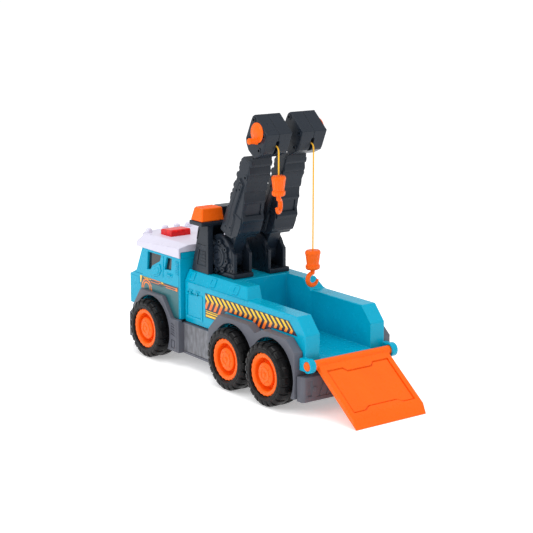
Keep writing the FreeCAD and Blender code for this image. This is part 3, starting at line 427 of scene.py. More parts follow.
def combine(base, tool, operation):
    """Boolean of two meshes: DIFFERENCE or UNION.  Both are used up."""
    objects = []
    for mesh in (base, tool):
        holder = bpy.data.meshes.new("holder")
        mesh.to_mesh(holder)
        mesh.free()
        item = bpy.data.objects.new("holder", holder)
        bpy.context.scene.collection.objects.link(item)
        objects.append(item)
    modifier = objects[0].modifiers.new("combine", "BOOLEAN")
    modifier.object = objects[1]
    modifier.operation = operation
    modifier.solver = "EXACT"
    modifier.use_self = True
    evaluated = objects[0].evaluated_get(bpy.context.evaluated_depsgraph_get())
    result = bmesh.new()
    result.from_mesh(evaluated.to_mesh())
    evaluated.to_mesh_clear()
    for item in objects:
        holder = item.data
        bpy.data.objects.remove(item)
        bpy.data.meshes.remove(holder)
    return cleaned(result)


def cut(base, *tools):
    return combine(base, joined(*tools), "DIFFERENCE")


def unite(base, *tools):
    return combine(base, joined(*tools), "UNION")


def soften(mesh, width, segments=2, angle=31.0, pick=None):
    """Round the sharp edges, or those of them that pick accepts."""
    sharp = [edge for edge in mesh.edges
             if len(edge.link_faces) == 2 and edge.calc_face_angle(0) > math.radians(angle)
             and (pick is None or pick(edge))]
    bmesh.ops.bevel(mesh, geom=sharp, offset=width, offset_type="OFFSET", segments=segments,
                    profile=0.5, affect="EDGES", clamp_overlap=False)
    bmesh.ops.remove_doubles(mesh, verts=mesh.verts, dist=0.002)
    return mesh


def mirror(mesh):
    """The same shape on the other side of the truck's middle plane."""
    bmesh.ops.scale(mesh, vec=(1, -1, 1), verts=mesh.verts)
    bmesh.ops.reverse_faces(mesh, faces=mesh.faces)
    return mesh


def on_side(mesh, sign):
    """A shape made for the truck's left: as it is there, or mirrored to the right."""
    return mesh if sign > 0 else mirror(mesh)


def side_slab(outline, low, high, sign):
    """A prism along Y on the left, or its mirror image on the right."""
    return on_side(prism(outline, low, high), sign)


def relief(outline, face, deep, lift, sign):
    """A slab through a side face, from some way inside it to some way out of it."""
    return side_slab(outline, face - deep, face + lift, sign)


def moved(mesh, matrix):
    bmesh.ops.transform(mesh, matrix=matrix, verts=mesh.verts)
    return mesh


def finished_mesh(name, mesh, material, smooth=35.0):
    """Millimetres to metres, smooth shading with sharp edges kept."""
    bmesh.ops.scale(mesh, vec=(MM,) * 3, verts=mesh.verts)
    data = bpy.data.meshes.new(name)
    mesh.to_mesh(data)
    mesh.free()
    data.materials.append(material)
    data.polygons.foreach_set("use_smooth", [True] * len(data.polygons))
    data.set_sharp_from_angle(angle=math.radians(smooth))
    return data


def place_piece(name, data, body, nodes=()):
    """An object in the scene, with its body and the CAD nodes it stands for."""
    item = bpy.data.objects.new(name, data)
    bpy.context.scene.collection.objects.link(item)
    modifier = item.modifiers.new("weighted_normals", "WEIGHTED_NORMAL")
    modifier.keep_sharp = True
    modifier.weight = 80
    if body:
        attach(item, body)
    if nodes:
        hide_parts(*nodes)
    return item


def piece(name, mesh, body, slot, material=None, nodes=(), smooth=35.0):
    """A visual piece of its own."""
    data = finished_mesh(name, mesh, material or MATERIALS[slot], smooth)
    return place_piece(name, data, body, nodes)


def stand_in(node, mesh, material=None, smooth=35.0):
    """A piece that stands for one CAD node."""
    return piece(f"{node}_shape", mesh, HOME[node], SLOT[node], material, [node], smooth)


def stand_in_pair(stem, mesh):
    """The left node's piece, and its mirror image for the right node."""
    other = mirror(mesh.copy())
    stand_in(f"{stem}_left", mesh)
    stand_in(f"{stem}_right", other)


# ---------------------------------------------------------------------- camera

def add_camera():
    """A long lens behind and to the left of the truck, a little above it."""
    yaw, pitch = math.radians(-36.19), math.radians(12.317)
    data = bpy.data.cameras.new("camera")
    data.lens = 98.31
    data.sensor_width = 36.0
    data.clip_start, data.clip_end = 0.05, 60.0
    item = bpy.data.objects.new("camera", data)
    item.location = (-1.02909, 0.75743, 0.38053)
    level = math.cos(pitch)
    heading = Vector((level * math.cos(yaw), level * math.sin(yaw), -math.sin(pitch)))
    item.rotation_mode = "QUATERNION"
    item.rotation_quaternion = heading.to_track_quat("-Z", "Y")
    bpy.context.scene.collection.objects.link(item)
    bpy.context.scene.camera = item


# Each lamp's place, size in metres and power in watts.
LAMPS = {"overhead": ((0.1, 0.1, 1.5), 0.9, 9.0),
         "left_box": ((0.2, 1.6, 1.0), 0.8, 8.0),
         "rear_box": ((-1.6, -0.3, 0.8), 0.6, 3.0)}
LAMP_TARGET = Vector((0.0, 0.0, 0.09))
FLOOR_REACH = 12.0


def add_light(name, place, size, power):
    data = bpy.data.lights.new(name, "AREA")
    data.shape = "SQUARE"
    data.size = size
    data.energy = power
    item = bpy.data.objects.new(name, data)
    item.location = place
    item.rotation_mode = "QUATERNION"
    item.rotation_quaternion = (LAMP_TARGET - Vector(place)).to_track_quat("-Z", "Y")
    bpy.context.scene.collection.objects.link(item)


def add_studio():
    """White surroundings and large soft lamps."""
    world = bpy.data.worlds.new("studio")
    world.use_nodes = True
    background = world.node_tree.nodes["Background"]
    background.inputs["Color"].default_value = (1.0, 1.0, 1.0, 1)
    background.inputs["Strength"].default_value = 0.72
    bpy.context.scene.world = world
    bpy.context.scene.view_settings.view_transform = "Standard"
    for name, (place, size, power) in LAMPS.items():
        add_light(name, place, size, power)


def add_floor():
    """A sheet of pale paper, which glows a little to stay white in the shade."""
    mesh = bmesh.new()
    corners = [(x * FLOOR_REACH, y * FLOOR_REACH, 0) for x, y in ((-1, -1), (1, -1), (1, 1), (-1, 1))]
    mesh.faces.new([mesh.verts.new(corner) for corner in corners])
    data = bpy.data.meshes.new("floor")
    mesh.to_mesh(data)
    mesh.free()
    material, tree, shader = new_material("floor_paper")
    paint(tree, shader, noise(tree, 5, 3), (0.90, 0.90, 0.905), (0.925, 0.925, 0.93))
    shader.inputs["Emission Color"].default_value = (1.0, 1.0, 1.0, 1)
    shader.inputs["Emission Strength"].default_value = 0.36
    shader.inputs["Roughness"].default_value = 0.9
    shader.inputs["Specular IOR Level"].default_value = 0.2
    data.materials.append(material)
    floor = bpy.data.objects.new("floor", data)
    bpy.context.scene.collection.objects.link(floor)


add_camera()
add_studio()
add_floor()


# ---------------------------------------------------------------- hoist lines

def spline_points(route):
    """Points along a smooth curve whose control points are the route, in metres."""
    curve = bpy.data.curves.new("route", "CURVE")
    curve.dimensions = "3D"
    spline = curve.splines.new("NURBS")
    spline.points.add(len(route) - 1)
    for point, place in zip(spline.points, route):
        point.co = (*place, 1)
    spline.order_u = 3
    spline.use_endpoint_u = True
    spline.resolution_u = 24
    holder = bpy.data.objects.new("route", curve)
    mesh = bpy.data.meshes.new_from_object(holder)
    points = [vertex.co.copy() for vertex in mesh.vertices]
    bpy.data.objects.remove(holder)
    bpy.data.curves.remove(curve)
    bpy.data.meshes.remove(mesh)
    return points


def even_points(points, step):
    """The same line with points about a step apart."""
    spans = [(b - a).length for a, b in zip(points, points[1:])]
    total = sum(spans)
    count = max(2, math.ceil(total / step))
    result, index, passed = [], 0, 0.0
    for number in range(count + 1):
        wanted = min(total * number / count, total - 1e-9)
        while passed + spans[index] < wanted:
            passed += spans[index]
            index += 1
        share = (wanted - passed) / spans[index]
        result.append(points[index].lerp(points[index + 1], share))
    return result


# The cord's route: out of the head's slot, round one bend and straight down to the block.
LINE_HEAD = [(-0.02618, 0.2163), (-0.02728, 0.21618), (-0.0373, 0.2151), (-0.0373, 0.20502)]
LINE_ROUTE = {side: [(x, 0.0189 * sign, z) for x, z in LINE_HEAD + [(-0.0373, end)]]
              for side, sign, end in (("left", 1, 0.1903), ("right", -1, 0.1206))}
LINE_DIAMETER = 0.0014
PATH_STEP = 0.0007
STRANDS = 4
STRAND_PITCH = 0.0042


def twisted_cord(points, radius):
    """Strands laid round the line, each a closed tube."""
    mesh = bmesh.new()
    across = Vector((0, 1, 0))
    along, stations = 0.0, []
    for index, point in enumerate(points):
        if index:
            along += (point - points[index - 1]).length
        stations.append((point, direction(points, index).cross(across).normalized(), along))
    strand_radius, offset = radius * 0.57, radius * 0.50
    for strand in range(STRANDS):
        rings = []
        for point, up, distance in stations:
            lay = math.tau * (distance / STRAND_PITCH + strand / STRANDS)
            middle = point + spoke(across, up, lay) * offset
            rings.append(ring_round(mesh, middle, across, up, strand_radius, 8))
        skin(mesh, rings)
    bmesh.ops.recalc_face_normals(mesh, faces=mesh.faces)
    return mesh


def make_hoist_line(side):
    """The braid, laid as twisted strands along the cord's route."""
    route = LINE_ROUTE[side]
    path = even_points(spline_points(route), PATH_STEP)
    mesh = twisted_cord(path, LINE_DIAMETER / 2)
    data = bpy.data.meshes.new(f"hoist_line_{side}_braid")
    mesh.to_mesh(data)
    mesh.free()
    data.materials.append(MATERIALS["cord_yellow"])
    data.polygons.foreach_set("use_smooth", [True] * len(data.polygons))
    item = place_piece(f"hoist_line_{side}_braid", data, None, [f"hoist_line_{side}"])
    item.modifiers.clear()
    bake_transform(item)
    return item, path


# ---------------------------------------------------------------------- wheels

TYRE_RADIUS = 28.0
LUGS = 22
LUG_SHARE = 0.36
FLANGE_BUMPS = 24
RIM_BOLTS = 8
BOLT_CIRCLE = 7.6


def tyre_block(section, turn, half_width, steps=3):
    """A tread block: a section of (radius, Y) swept a short way round the wheel."""
    mesh = bmesh.new()
    rings = []
    for step in range(steps + 1):
        angle = turn + half_width * (2 * step / steps - 1)
        rings.append([mesh.verts.new((radius * math.cos(angle), across, radius * math.sin(angle)))
                      for radius, across in section])
    skin(mesh, rings)
    bmesh.ops.recalc_face_normals(mesh, faces=mesh.faces)
    return soften(mesh, 0.35, 1, 40)


def tyre_mesh():
    """Outer side towards +Y, hub at the origin."""
    inside, outside = (corner.y for corner in box("tyre_front_left"))
    carcass = [(17.6, inside + 0.6), (19.5, inside + 0.1), (24.6, inside), (26.4, inside + 1.0),
               (27.3, inside + 3.4), (27.5, inside + 10.5), (27.3, outside - 4.0),
               (26.1, outside - 1.2), (24.4, outside - 0.4), (22.6, outside - 0.3),
               (22.3, outside), (20.2, outside), (19.8, outside - 0.7), (19.2, outside - 0.8),
               (18.9, outside - 3.0), (17.6, outside - 3.2)]
    whole = lathe(carcass, (0, 0, 0), steps=LUGS * 6)
    outer = [(22.8, outside - 0.6), (23.4, outside), (26.0, outside - 0.2), (27.5, outside - 1.5),
             (TYRE_RADIUS, outside - 3.2), (TYRE_RADIUS, outside - 8.4), (26.4, outside - 9.2),
             (25.9, outside - 3.4), (24.4, outside - 1.6)]
    inner = [(23.2, inside + 0.6), (23.6, inside), (26.2, inside + 0.2), (27.5, inside + 1.4),
             (TYRE_RADIUS, inside + 3.2), (TYRE_RADIUS, inside + 8.2), (26.4, inside + 9.0),
             (25.8, inside + 3.4), (24.4, inside + 1.6)]
    pitch = math.tau / LUGS
    blocks = []
    for index in range(LUGS):
        blocks.append(tyre_block(outer, index * pitch, LUG_SHARE * pitch))
        blocks.append(tyre_block(inner, (index + 0.5) * pitch, LUG_SHARE * pitch))
    return joined(whole, *blocks)


def rim_mesh():
    """A deep dish with a scalloped flange, a groove and a stepped hub; outer side towards +Y."""
    low, high = (corner.y for corner in box("rim_front_left"))
    floor = high - 8.4
    profile = [(0, high + 0.5), (1.5, high + 0.5), (2.1, high), (2.5, high - 0.5), (4.2, high - 0.5),
               (4.6, high + 0.1), (6.4, high + 0.1), (6.9, high - 0.6), (8.2, high - 0.8),
               (9.6, high - 1.2), (10.2, high - 1.8), (10.5, floor + 0.5), (10.9, floor), (13.3, floor),
               (13.7, floor + 0.5), (14.2, high - 1.6), (14.6, high - 0.9), (15.5, high - 0.15), (16.2, high),
               (17.9, high), (18.5, high - 0.4), (18.55, high - 1.1), (17.7, high - 1.5),
               (17.55, high - 2.2), (17.55, low + 0.3), (17.2, low), (15.4, low),
               (14.6, floor - 2.4), (8.4, floor - 2.4), (8.2, low + 1.0), (7.6, low + 0.4),
               (2.1, low + 0.4), (2.1, high - 1.0), (0, high - 1.0)]

    def scallop(radius, turn):
        return 0.32 * math.cos(FLANGE_BUMPS * turn) if radius > 17.8 else 0.0

    whole = lathe(profile, (0, 0, 0), steps=FLANGE_BUMPS * 6, wave=scallop)
    bolts = [prism(circle(*place, 0.55, 10), high - 1.3, high + 1)
             for place in circle(0, 0, BOLT_CIRCLE, RIM_BOLTS)]
    return cut(whole, *bolts)


def make_wheels():
    """All six wheels share one tyre mesh and one rim mesh."""
    tyre = finished_mesh("tyre_shape", tyre_mesh(), MATERIALS["tyre_black"], 38)
    rim = finished_mesh("rim_shape", rim_mesh(), MATERIALS["orange"], 32)
    for axle in AXLES:
        centre = Vector(JOINTS[f"wheels_{axle}_spin"]["pos_m"])
        for side, sign in SIDES.items():
            for kind, data in (("tyre", tyre), ("rim", rim)):
                item = place_piece(f"{kind}_{axle}_{side}_shape", data, None)
                half_turn = Matrix.Rotation(0 if sign > 0 else math.pi, 4, "Z")
                item.matrix_world = Matrix.Translation(centre) @ half_turn
                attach(item, HOME[f"{kind}_{axle}_{side}"])
                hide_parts(f"{kind}_{axle}_{side}")
        node = frame["nodes"][f"axle_{axle}"]
        node.data.materials.clear()
        node.data.materials.append(MATERIALS["steel"])


# -------------------------------------------------------- load bed and its stickers

BODY_HALF = 43.0
SLOPE_MIDDLE = (40.5, 85.9)
SLOPE = math.atan2(10.2, 5.0)
BOSS_SETBACKS = (9.6, 43.6, 79.6)


def on_slope(mesh, across, sign):
    """From a flat plate lying on Z = 0 to the sloped upper side of the body."""
    up_slope = Vector((0, -math.cos(SLOPE), math.sin(SLOPE)))
    out = Vector((0, math.sin(SLOPE), math.cos(SLOPE)))
    turned = Matrix((Vector((-1, 0, 0)), up_slope, out)).transposed().to_4x4()
    moved(mesh, Matrix.Translation((across, *SLOPE_MIDDLE)) @ turned)
    return on_side(mesh, sign)


def make_bed():
    """The walled bed: rounded edges, raised bosses, an access panel and its latches."""
    shell = soften(read_node("bed_body"), 0.9, 3)
    front = box("bed_body")[1].x
    added, removed = [], []
    for sign in SIDES.values():
        for setback in BOSS_SETBACKS:
            boss = soften(prism(oblong(-4.4, -4.2, 4.4, 4.2, 1.5), -1.0, 0.8, "Z"), 0.25, 1)
            dimple = prism(oblong(-2.6, -2.4, 2.6, 2.4, 0.9), 0.35, 2, "Z")
            added.append(on_slope(boss, front - setback, sign))
            removed.append(on_slope(dimple, front - setback, sign))
        rear, fore = front - 29.6, front - 1.8
        added.append(relief(oblong(rear, 46.6, fore, 71.0, 1.0), BODY_HALF, 1.5, 0.5, sign))
        recess = oblong(rear + 2.2, 48.8, fore - 2.2, 68.8, 0.6)
        removed.append(relief(recess, BODY_HALF, 0.3, 2, sign))
        for index in range(8):
            height = 50.2 + index * 2.3
            slat = oblong(rear + 3.4, height, fore - 3.4, height + 1.1)
            added.append(relief(slat, BODY_HALF, 1.0, 0.25, sign))
        for middle in (rear + 8.5, fore - 8.5):
            plate = oblong(middle - 3.2, 72.6, middle + 3.2, 74.2, 0.6)
            tongue = oblong(middle - 1.0, 70.4, middle + 1.0, 73.4, 0.5)
            added.append(relief(plate, BODY_HALF, 1, 0.7, sign))
            added.append(relief(tongue, BODY_HALF, 1, 1.1, sign))
    stand_in("bed_body", cut(unite(shell, *added), *removed))


# The long sticker's front, rear and top; its two lower levels, with the slope between
# them; and the notch that follows the fender between the middle and rear wheels.
STICKER_LIFT = 0.14
PRINT_LIFT = 0.22
FRONT, REAR, TOP = 41.5, -84.5, 75.2
REAR_FOOT = (-96.5, 64.2)
LOW_EDGE, HIGH_EDGE = 52.6, 64.2
SLOPE_REAR, SLOPE_FRONT = 8.5, 22.0
NOTCH_REAR, NOTCH, NOTCH_FRONT = -61.0, -47.0, -34.0
NOTCH_DEPTH = 4.2
STRIPES, STRIPE_PITCH, STRIPE_WIDTH, STRIPE_KNEE = 20, 7.4, 3.6, 68.4
SHORT_STRIPES = 3


def chevron(start, top, knee, bottom, stroke):
    """One arrow stripe: down and back to the knee, then forward again to its foot."""
    tip = start - (top - knee) * 1.12
    foot = tip + (knee - bottom) * 0.6
    return [(start, top), (tip, knee), (foot, bottom), (foot - stroke, bottom),
            (tip - stroke, knee), (start - stroke, top)]


def clipped(outline, point, towards):
    """The part of an outline on the side of a line that the direction points to."""
    def height(corner):
        return (corner[0] - point[0]) * towards[0] + (corner[1] - point[1]) * towards[1]

    result = []
    for corner, after in zip(outline, outline[1:] + outline[:1]):
        here, there = height(corner), height(after)
        if here >= 0:
            result.append(corner)
        if (here >= 0) != (there >= 0):
            share = here / (here - there)
            result.append(tuple(a + share * (b - a) for a, b in zip(corner, after)))
    return result


def sticker_floor(place):
    """The height of the sticker's lower edge."""
    if place > SLOPE_FRONT:
        return LOW_EDGE
    if place > SLOPE_REAR:
        return LOW_EDGE + (SLOPE_FRONT - place) * 0.86
    if NOTCH_REAR < place < NOTCH_FRONT:
        share = 1 - abs(place - NOTCH) / (NOTCH_FRONT - NOTCH)
        return HIGH_EDGE - NOTCH_DEPTH * max(0.0, min(1.0, share * 1.8))
    return HIGH_EDGE


def printed_on_body(shapes, sign):
    return joined(*[relief(shape, BODY_HALF, 0.2, PRINT_LIFT, sign) for shape in shapes])


def arrow_stripes():
    """Arrow stripes, ended by the sticker's front and by its sloped rear edge."""
    shapes = []
    for index in range(STRIPES):
        start = FRONT + 4.0 - index * STRIPE_PITCH
        bottom = 60.6 if index < SHORT_STRIPES else sticker_floor(start - 8) + 0.7
        shape = chevron(start, TOP - 0.5, STRIPE_KNEE, bottom, STRIPE_WIDTH)
        shape = clipped(shape, (FRONT - 0.5, 0), (-1, 0))
        shape = clipped(shape, (REAR_FOOT[0] + 2.4, REAR_FOOT[1]), (TOP - REAR_FOOT[1], REAR_FOOT[0] - REAR))
        if len(shape) > 2:
            shapes.append(shape)
    return shapes


def short_lines():
    """Three short level lines below the foremost stripes."""
    shapes = []
    for low, high in ((58.6, 59.3), (56.6, 57.7), (53.6, 55.5)):
        reach = 24.0 - 0.9 * (low - 53)
        shapes.append([(FRONT - 1, low), (FRONT - 1, high), (reach, high), (reach, low)])
    return shapes


def make_hazard_stickers():
    """Arrow stripes along the body, following the fender's upper edge."""
    outline = [(FRONT, TOP), (REAR, TOP), REAR_FOOT, (NOTCH_REAR, HIGH_EDGE), (-54.0, 60.0), (-41.0, 60.0),
               (NOTCH_FRONT, HIGH_EDGE), (SLOPE_REAR, HIGH_EDGE), (SLOPE_FRONT, LOW_EDGE), (FRONT, LOW_EDGE)]
    for side, sign in SIDES.items():
        base = relief(outline, BODY_HALF, 0.3, STICKER_LIFT, sign)
        piece(f"hazard_sticker_{side}", base, "truck", "teal_body", INK_NAVY)
        arrows = printed_on_body(arrow_stripes(), sign)
        piece(f"hazard_arrows_{side}", arrows, "truck", "teal_body", INK_HAZARD)
        lines = printed_on_body(short_lines(), sign)
        piece(f"hazard_lines_{side}", lines, "truck", "teal_body", INK_YELLOW)


# ------------------------------------------------- booms, in their own upright axes

PIVOT = joint_place("boom_left_tilt")
LEAN = math.radians(26.4)
ON_BOOM = Matrix.Translation((PIVOT.x, 0, PIVOT.z)) @ Matrix.Rotation(-LEAN, 4, "Y")


def on_boom(mesh, sign):
    """From the upright left boom to its place in the truck, on either side."""
    moved(mesh, ON_BOOM)
    return on_side(mesh, sign)


# Each ledge's place along the arm, its reach and its thickness; then the arm's rear
# face, as places along it and how far back it is there.
ARM_LEDGES = [(30.0, 1.2, 1.6), (38.0, 1.2, 1.6), (49.2, 2.2, 3.0), (66.0, 1.3, 1.6), (77.0, 2.0, 2.8),
              (93.0, 1.6, 2.4), (100.6, 1.6, 2.4)]
ARM_REAR = [(26.0, -6.0), (28.0, -12.0), (33.8, -16.9), (42.8, -17.1), (48.0, -15.7), (52.0, -14.9),
            (67.8, -10.9), (76.8, -7.7), (88.8, -8.1), (94.8, -5.4), (103.0, -4.6)]
FRONT_STRIP = [(3.4, 29.6), (3.2, 75.0), (0.6, 80.6), (0.2, 80.2), (0.6, 52.0), (-0.6, 48.6), (-1.2, 29.6)]
REAR_STRIP = [(-2.6, 32.0), (-1.6, 48.0), (-0.9, 52.0), (-1.3, 78.4), (-4.2, 77.4), (-4.2, 49.4),
              (-6.8, 46.4), (-7.6, 32.0)]
ARM_PIN = (-4.6, 88.0)
ARM_DIMPLES = ((1.0, 33.0), (-5.6, 35.6), (0.8, 71.6), (-2.8, 74.6))
# On each side face: where the strips, the pin's boss, the dimples and the pin's bore lie.
ARM_FACES = (((31.0, 32.45), (30.4, 31.55), (31.6, 34), (29.2, 34)),
             ((5.35, 6.8), (5.75, 7.4), (3, 6.2), (3, 8.4)))
NECK_CORNERS = ([(-5.8, 104.0), (2.9, 104.0), (-5.8, 109.6)], [(4.0, 105.2), (4.0, 110.4), (-4.0, 110.4)])
NECK_SIDES = ((4.0, 8.5), (29.3, 33.0))


def arm_rear(along):
    """How far back the arm's rear face is at a place along it."""
    for (low, first), (high, second) in zip(ARM_REAR, ARM_REAR[1:]):
        if low <= along <= high:
            return first + (second - first) * (along - low) / (high - low)
    return ARM_REAR[-1][1]


def arm_ledge(along, out, thick):
    """A plate across the arm's rear that fades into the arm above it."""
    rear, fade = arm_rear(along), along + thick + 4.5
    low, high, end = along - thick / 2, along + thick / 2, arm_rear(fade)
    ledge = prism([(rear + 3, low), (rear - out, low), (rear - out, high), (end + 0.3, fade), (end + 3, fade)],
                  7.5, 30.3)
    return soften(ledge, 0.25, 1)


def make_arms():
    """Box arms with stepped rear plates, scalloped fronts, side strips and neck recesses."""
    added = [arm_ledge(*ledge) for ledge in ARM_LEDGES]
    for along in (59.0, 67.0, 75.0, 83.0, 91.0, 98.4):
        added.append(soften(prism(circle(6.9, along, 2.6, 20), 7.7, 30.1), 0.4, 1, 60))
    for along in (30.0, 36.5, 43.0):
        added.append(soften(prism(circle(6.9, along, 2.0, 20), 9.0, 29.0), 0.4, 1, 60))
    removed = []
    for strip_span, boss_span, dimple_span, bore_span in ARM_FACES:
        for strip in (FRONT_STRIP, REAR_STRIP):
            added.append(soften(prism(strip, *strip_span), 0.3, 1))
        added.append(prism(circle(*ARM_PIN, 2.7, 20), *boss_span))
        removed += [prism(circle(*place, 1.0, 14), *dimple_span) for place in ARM_DIMPLES]
        removed.append(prism(circle(*ARM_PIN, 1.2, 16), *bore_span))
    for span in NECK_SIDES:
        removed += [prism(corner, *span) for corner in NECK_CORNERS]
    low_rear, high_rear = arm_rear(53.4), arm_rear(63.6)
    removed.append(prism([(low_rear - 4, 53.4), (low_rear + 1.0, 53.4), (high_rear + 1.0, 63.6),
                          (high_rear - 4, 63.6)], 10.6, 27.2))
    shell = unite(soften(read_node("boom_arm_left"), 0.5, 2), *[on_boom(mesh, 1) for mesh in added])
    stand_in_pair("boom_arm", cut(shell, *[on_boom(mesh, 1) for mesh in removed]))


# Where each half's screw bosses stand, and where their bores are cut.
HEAD_BOSSES = ((5.2, 141.4), (5.6, 122.2), (-13.4, 136.2), (-12.8, 121.4))
HEAD_SPANS = {"inner": ((4.85, 8.2), (3.85, 7.4)), "outer": ((29.6, 32.95), (30.4, 33.95))}


def make_heads():
    """Faceted half shells with a screw boss in each corner of the flat face."""
    for side, sign in SIDES.items():
        for half, (boss_span, bore_span) in HEAD_SPANS.items():
            node = f"head_{half}_{side}"
            bosses = [on_boom(prism(circle(*place, 2.5, 20), *boss_span), sign) for place in HEAD_BOSSES]
            bores = [on_boom(prism(circle(*place, 1.25, 16), *bore_span), sign) for place in HEAD_BOSSES]
            stand_in(node, cut(unite(soften(read_node(node), 0.4, 2), *bosses), *bores))


WINCH = (-3.8, 134.0)
KNOB_BACK, KNOB_DOWN = 6.8 * 0.444, 6.8 * 0.896


def make_cranks():
    """A button-shaped disc with a rounded knob set off its centre, and the drum on its shaft."""
    centre = (WINCH[0], 0, WINCH[1])
    for side, sign in SIDES.items():
        out = max(abs(corner.y) for corner in box(f"crank_{side}"))
        disc = lathe([(0, 32.5), (8.4, 32.5), (8.8, 32.7), (8.8, 33.1), (8.3, 33.6), (7.4, 33.8), (6.6, 33.7),
                      (5.9, 34.1), (3.0, 34.6), (0, 34.7)], centre)
        knob = lathe([(0, 33.5), (3.3, 33.5), (3.2, 34.6), (2.6, 35.6), (2.4, out - 2.6), (2.7, out - 1.9),
                      (2.7, out - 0.8), (2.1, out - 0.1), (1.0, out + 0.1), (0, out + 0.15)],
                     (WINCH[0] - sign * KNOB_BACK, 0, WINCH[1] - KNOB_DOWN), steps=28)
        shaft = lathe([(0, 6.5), (2.6, 6.5), (2.95, 6.9), (2.95, 33.2), (0, 33.2)], centre, steps=28)
        stand_in(f"crank_{side}", on_boom(unite(disc, knob, shaft), sign))
        drum = lathe([(3.02, 13.4), (6.3, 13.4), (6.4, 13.6), (6.4, 14.2), (5.5, 14.5), (5.5, 23.3),
                      (6.4, 23.6), (6.4, 24.2), (6.3, 24.4), (3.02, 24.4)], centre, steps=40)
        stand_in(f"winch_drum_{side}", on_boom(drum, sign))


HOOK_RADIUS = 5.5
HOOK_STEPS = 43
SHANK_POINTS = 6
BLOCK_FLUTES = 14


def block_mesh(top, bottom):
    """A pulley block's body: a waist with shallow flutes between a cap and a collar."""
    def flute(radius, turn):
        return 0.2 * math.cos(BLOCK_FLUTES * turn) if 5.2 < radius < 6.7 else 0.0

    profile = [(0, top), (1.1, top + 0.5), (1.5, top), (5.6, top), (6.7, top - 0.8), (7.1, top - 2.0),
               (7.1, top - 3.2), (6.6, top - 3.8), (5.4, bottom + 5.2), (5.6, bottom + 4.5),
               (6.2, bottom + 4.2), (6.4, bottom + 3.4), (6.4, bottom + 1.6), (6.0, bottom + 0.6),
               (5.0, bottom), (2.4, bottom - 0.1), (2.2, bottom - 0.7), (0, bottom - 0.7)]
    return lathe(profile, (0, 0, 0), "Z", 144, flute)


def hook_mesh(foot, across):
    """A round bar: a shank down from the block's foot, an arc that opens upwards and a blunt tip."""
    points = [foot + Vector((0, 0, 0.4 - step * 0.72)) for step in range(SHANK_POINTS)]
    radii = [2.0] * SHANK_POINTS
    centre = foot - Vector((0, 0, 8.6))
    for step in range(HOOK_STEPS + 1):
        share = step / HOOK_STEPS
        turn = math.radians(6 + 244 * share)
        points.append(centre + spoke(Vector((0, 0, 1)), across, turn) * HOOK_RADIUS)
        radii.append(1.85 + 0.3 * math.sin(math.pi * share) - 0.65 * max(0.0, share - 0.7) / 0.3)
    end = points[-1]
    heading = (end - points[-2]).normalized()
    for reach, radius in ((0.5, 1.45), (0.95, 1.1), (1.2, 0.6)):
        points.append(end + heading * reach)
        radii.append(radius)
    return tapered_tube(points, radii, 18)


def make_blocks():
    """Oval pulley blocks and the hooks below them, each turned as it hangs."""
    for side, sign in SIDES.items():
        low, high = box(f"pulley_block_{side}")
        middle = (low + high) / 2
        turn = math.radians(36.0 if sign > 0 else 0.0)
        oval = Matrix.Rotation(turn, 4, "Z") @ Matrix.Diagonal((0.87, 1.04, 1, 1))
        hung = Matrix.Translation((middle.x, middle.y, 0)) @ oval
        stand_in(f"pulley_block_{side}", moved(block_mesh(high.z, low.z), hung))
        across = Vector((sign * math.sin(turn), -sign * math.cos(turn), 0))
        stand_in(f"hook_{side}", hook_mesh(Vector((middle.x, middle.y, low.z)), across))


CAP_BOSSES = 8
CAP_BOSS_CIRCLE = 13.8


def make_hub_cap(side, sign):
    """A raised ring round two curved slots, inside eight bored bosses."""
    disc = lathe([(0, 29.3), (12.9, 29.3), (13.4, 29.7), (13.4, 30.3), (12.9, 30.8), (10.4, 31.0),
                  (10.0, 31.4), (9.8, 32.1), (9.2, 32.3), (7.8, 32.3), (7.3, 32.0), (7.0, 31.3),
                  (6.2, 31.3), (5.7, 31.8), (0, 32.0)], (PIVOT.x, 0, PIVOT.z), steps=72)
    boss = [(0, 29.3), (2.6, 29.3), (2.6, 31.6), (2.2, 32.1), (0, 32.1)]
    bosses, holes = [], []
    for across, up in circle(PIVOT.x, PIVOT.z, CAP_BOSS_CIRCLE, CAP_BOSSES, 0.2):
        bosses.append(lathe(boss, (across, 0, up), steps=20))
        holes.append(prism(circle(across, up, 1.2, 14), 30.2, 33))
    for start in (0.5, 0.5 + math.pi):
        holes.append(annulus(PIVOT.x, PIVOT.z, 2.6, 4.6, 31.0, 33, 8, start=start, sweep=1.5))
    stand_in(f"hub_cap_{side}", on_side(cut(unite(disc, *bosses), *holes), sign))


def make_brackets():
    """Two-cheek boom brackets and their hub caps."""
    added = []
    for low, high in ((8.7, 9.4), (29.0, 29.7)):
        ring = [(16.6, low), (19.6, low), (19.6, high), (16.6, high)]
        added.append(soften(lathe(ring, (PIVOT.x, 0, PIVOT.z), steps=72), 0.25, 1))
    for place in ((19.0, 97.6), (19.0, 103.2)):
        added.append(prism(circle(*place, 1.2, 14), 28.9, 29.8))
    stand_in_pair("boom_bracket", unite(soften(read_node("boom_bracket_left"), 0.6, 2), *added))
    for side, sign in SIDES.items():
        make_hub_cap(side, sign)


# ------------------------------------------------------------------ cab and roof

CAB_HALF = 47.6
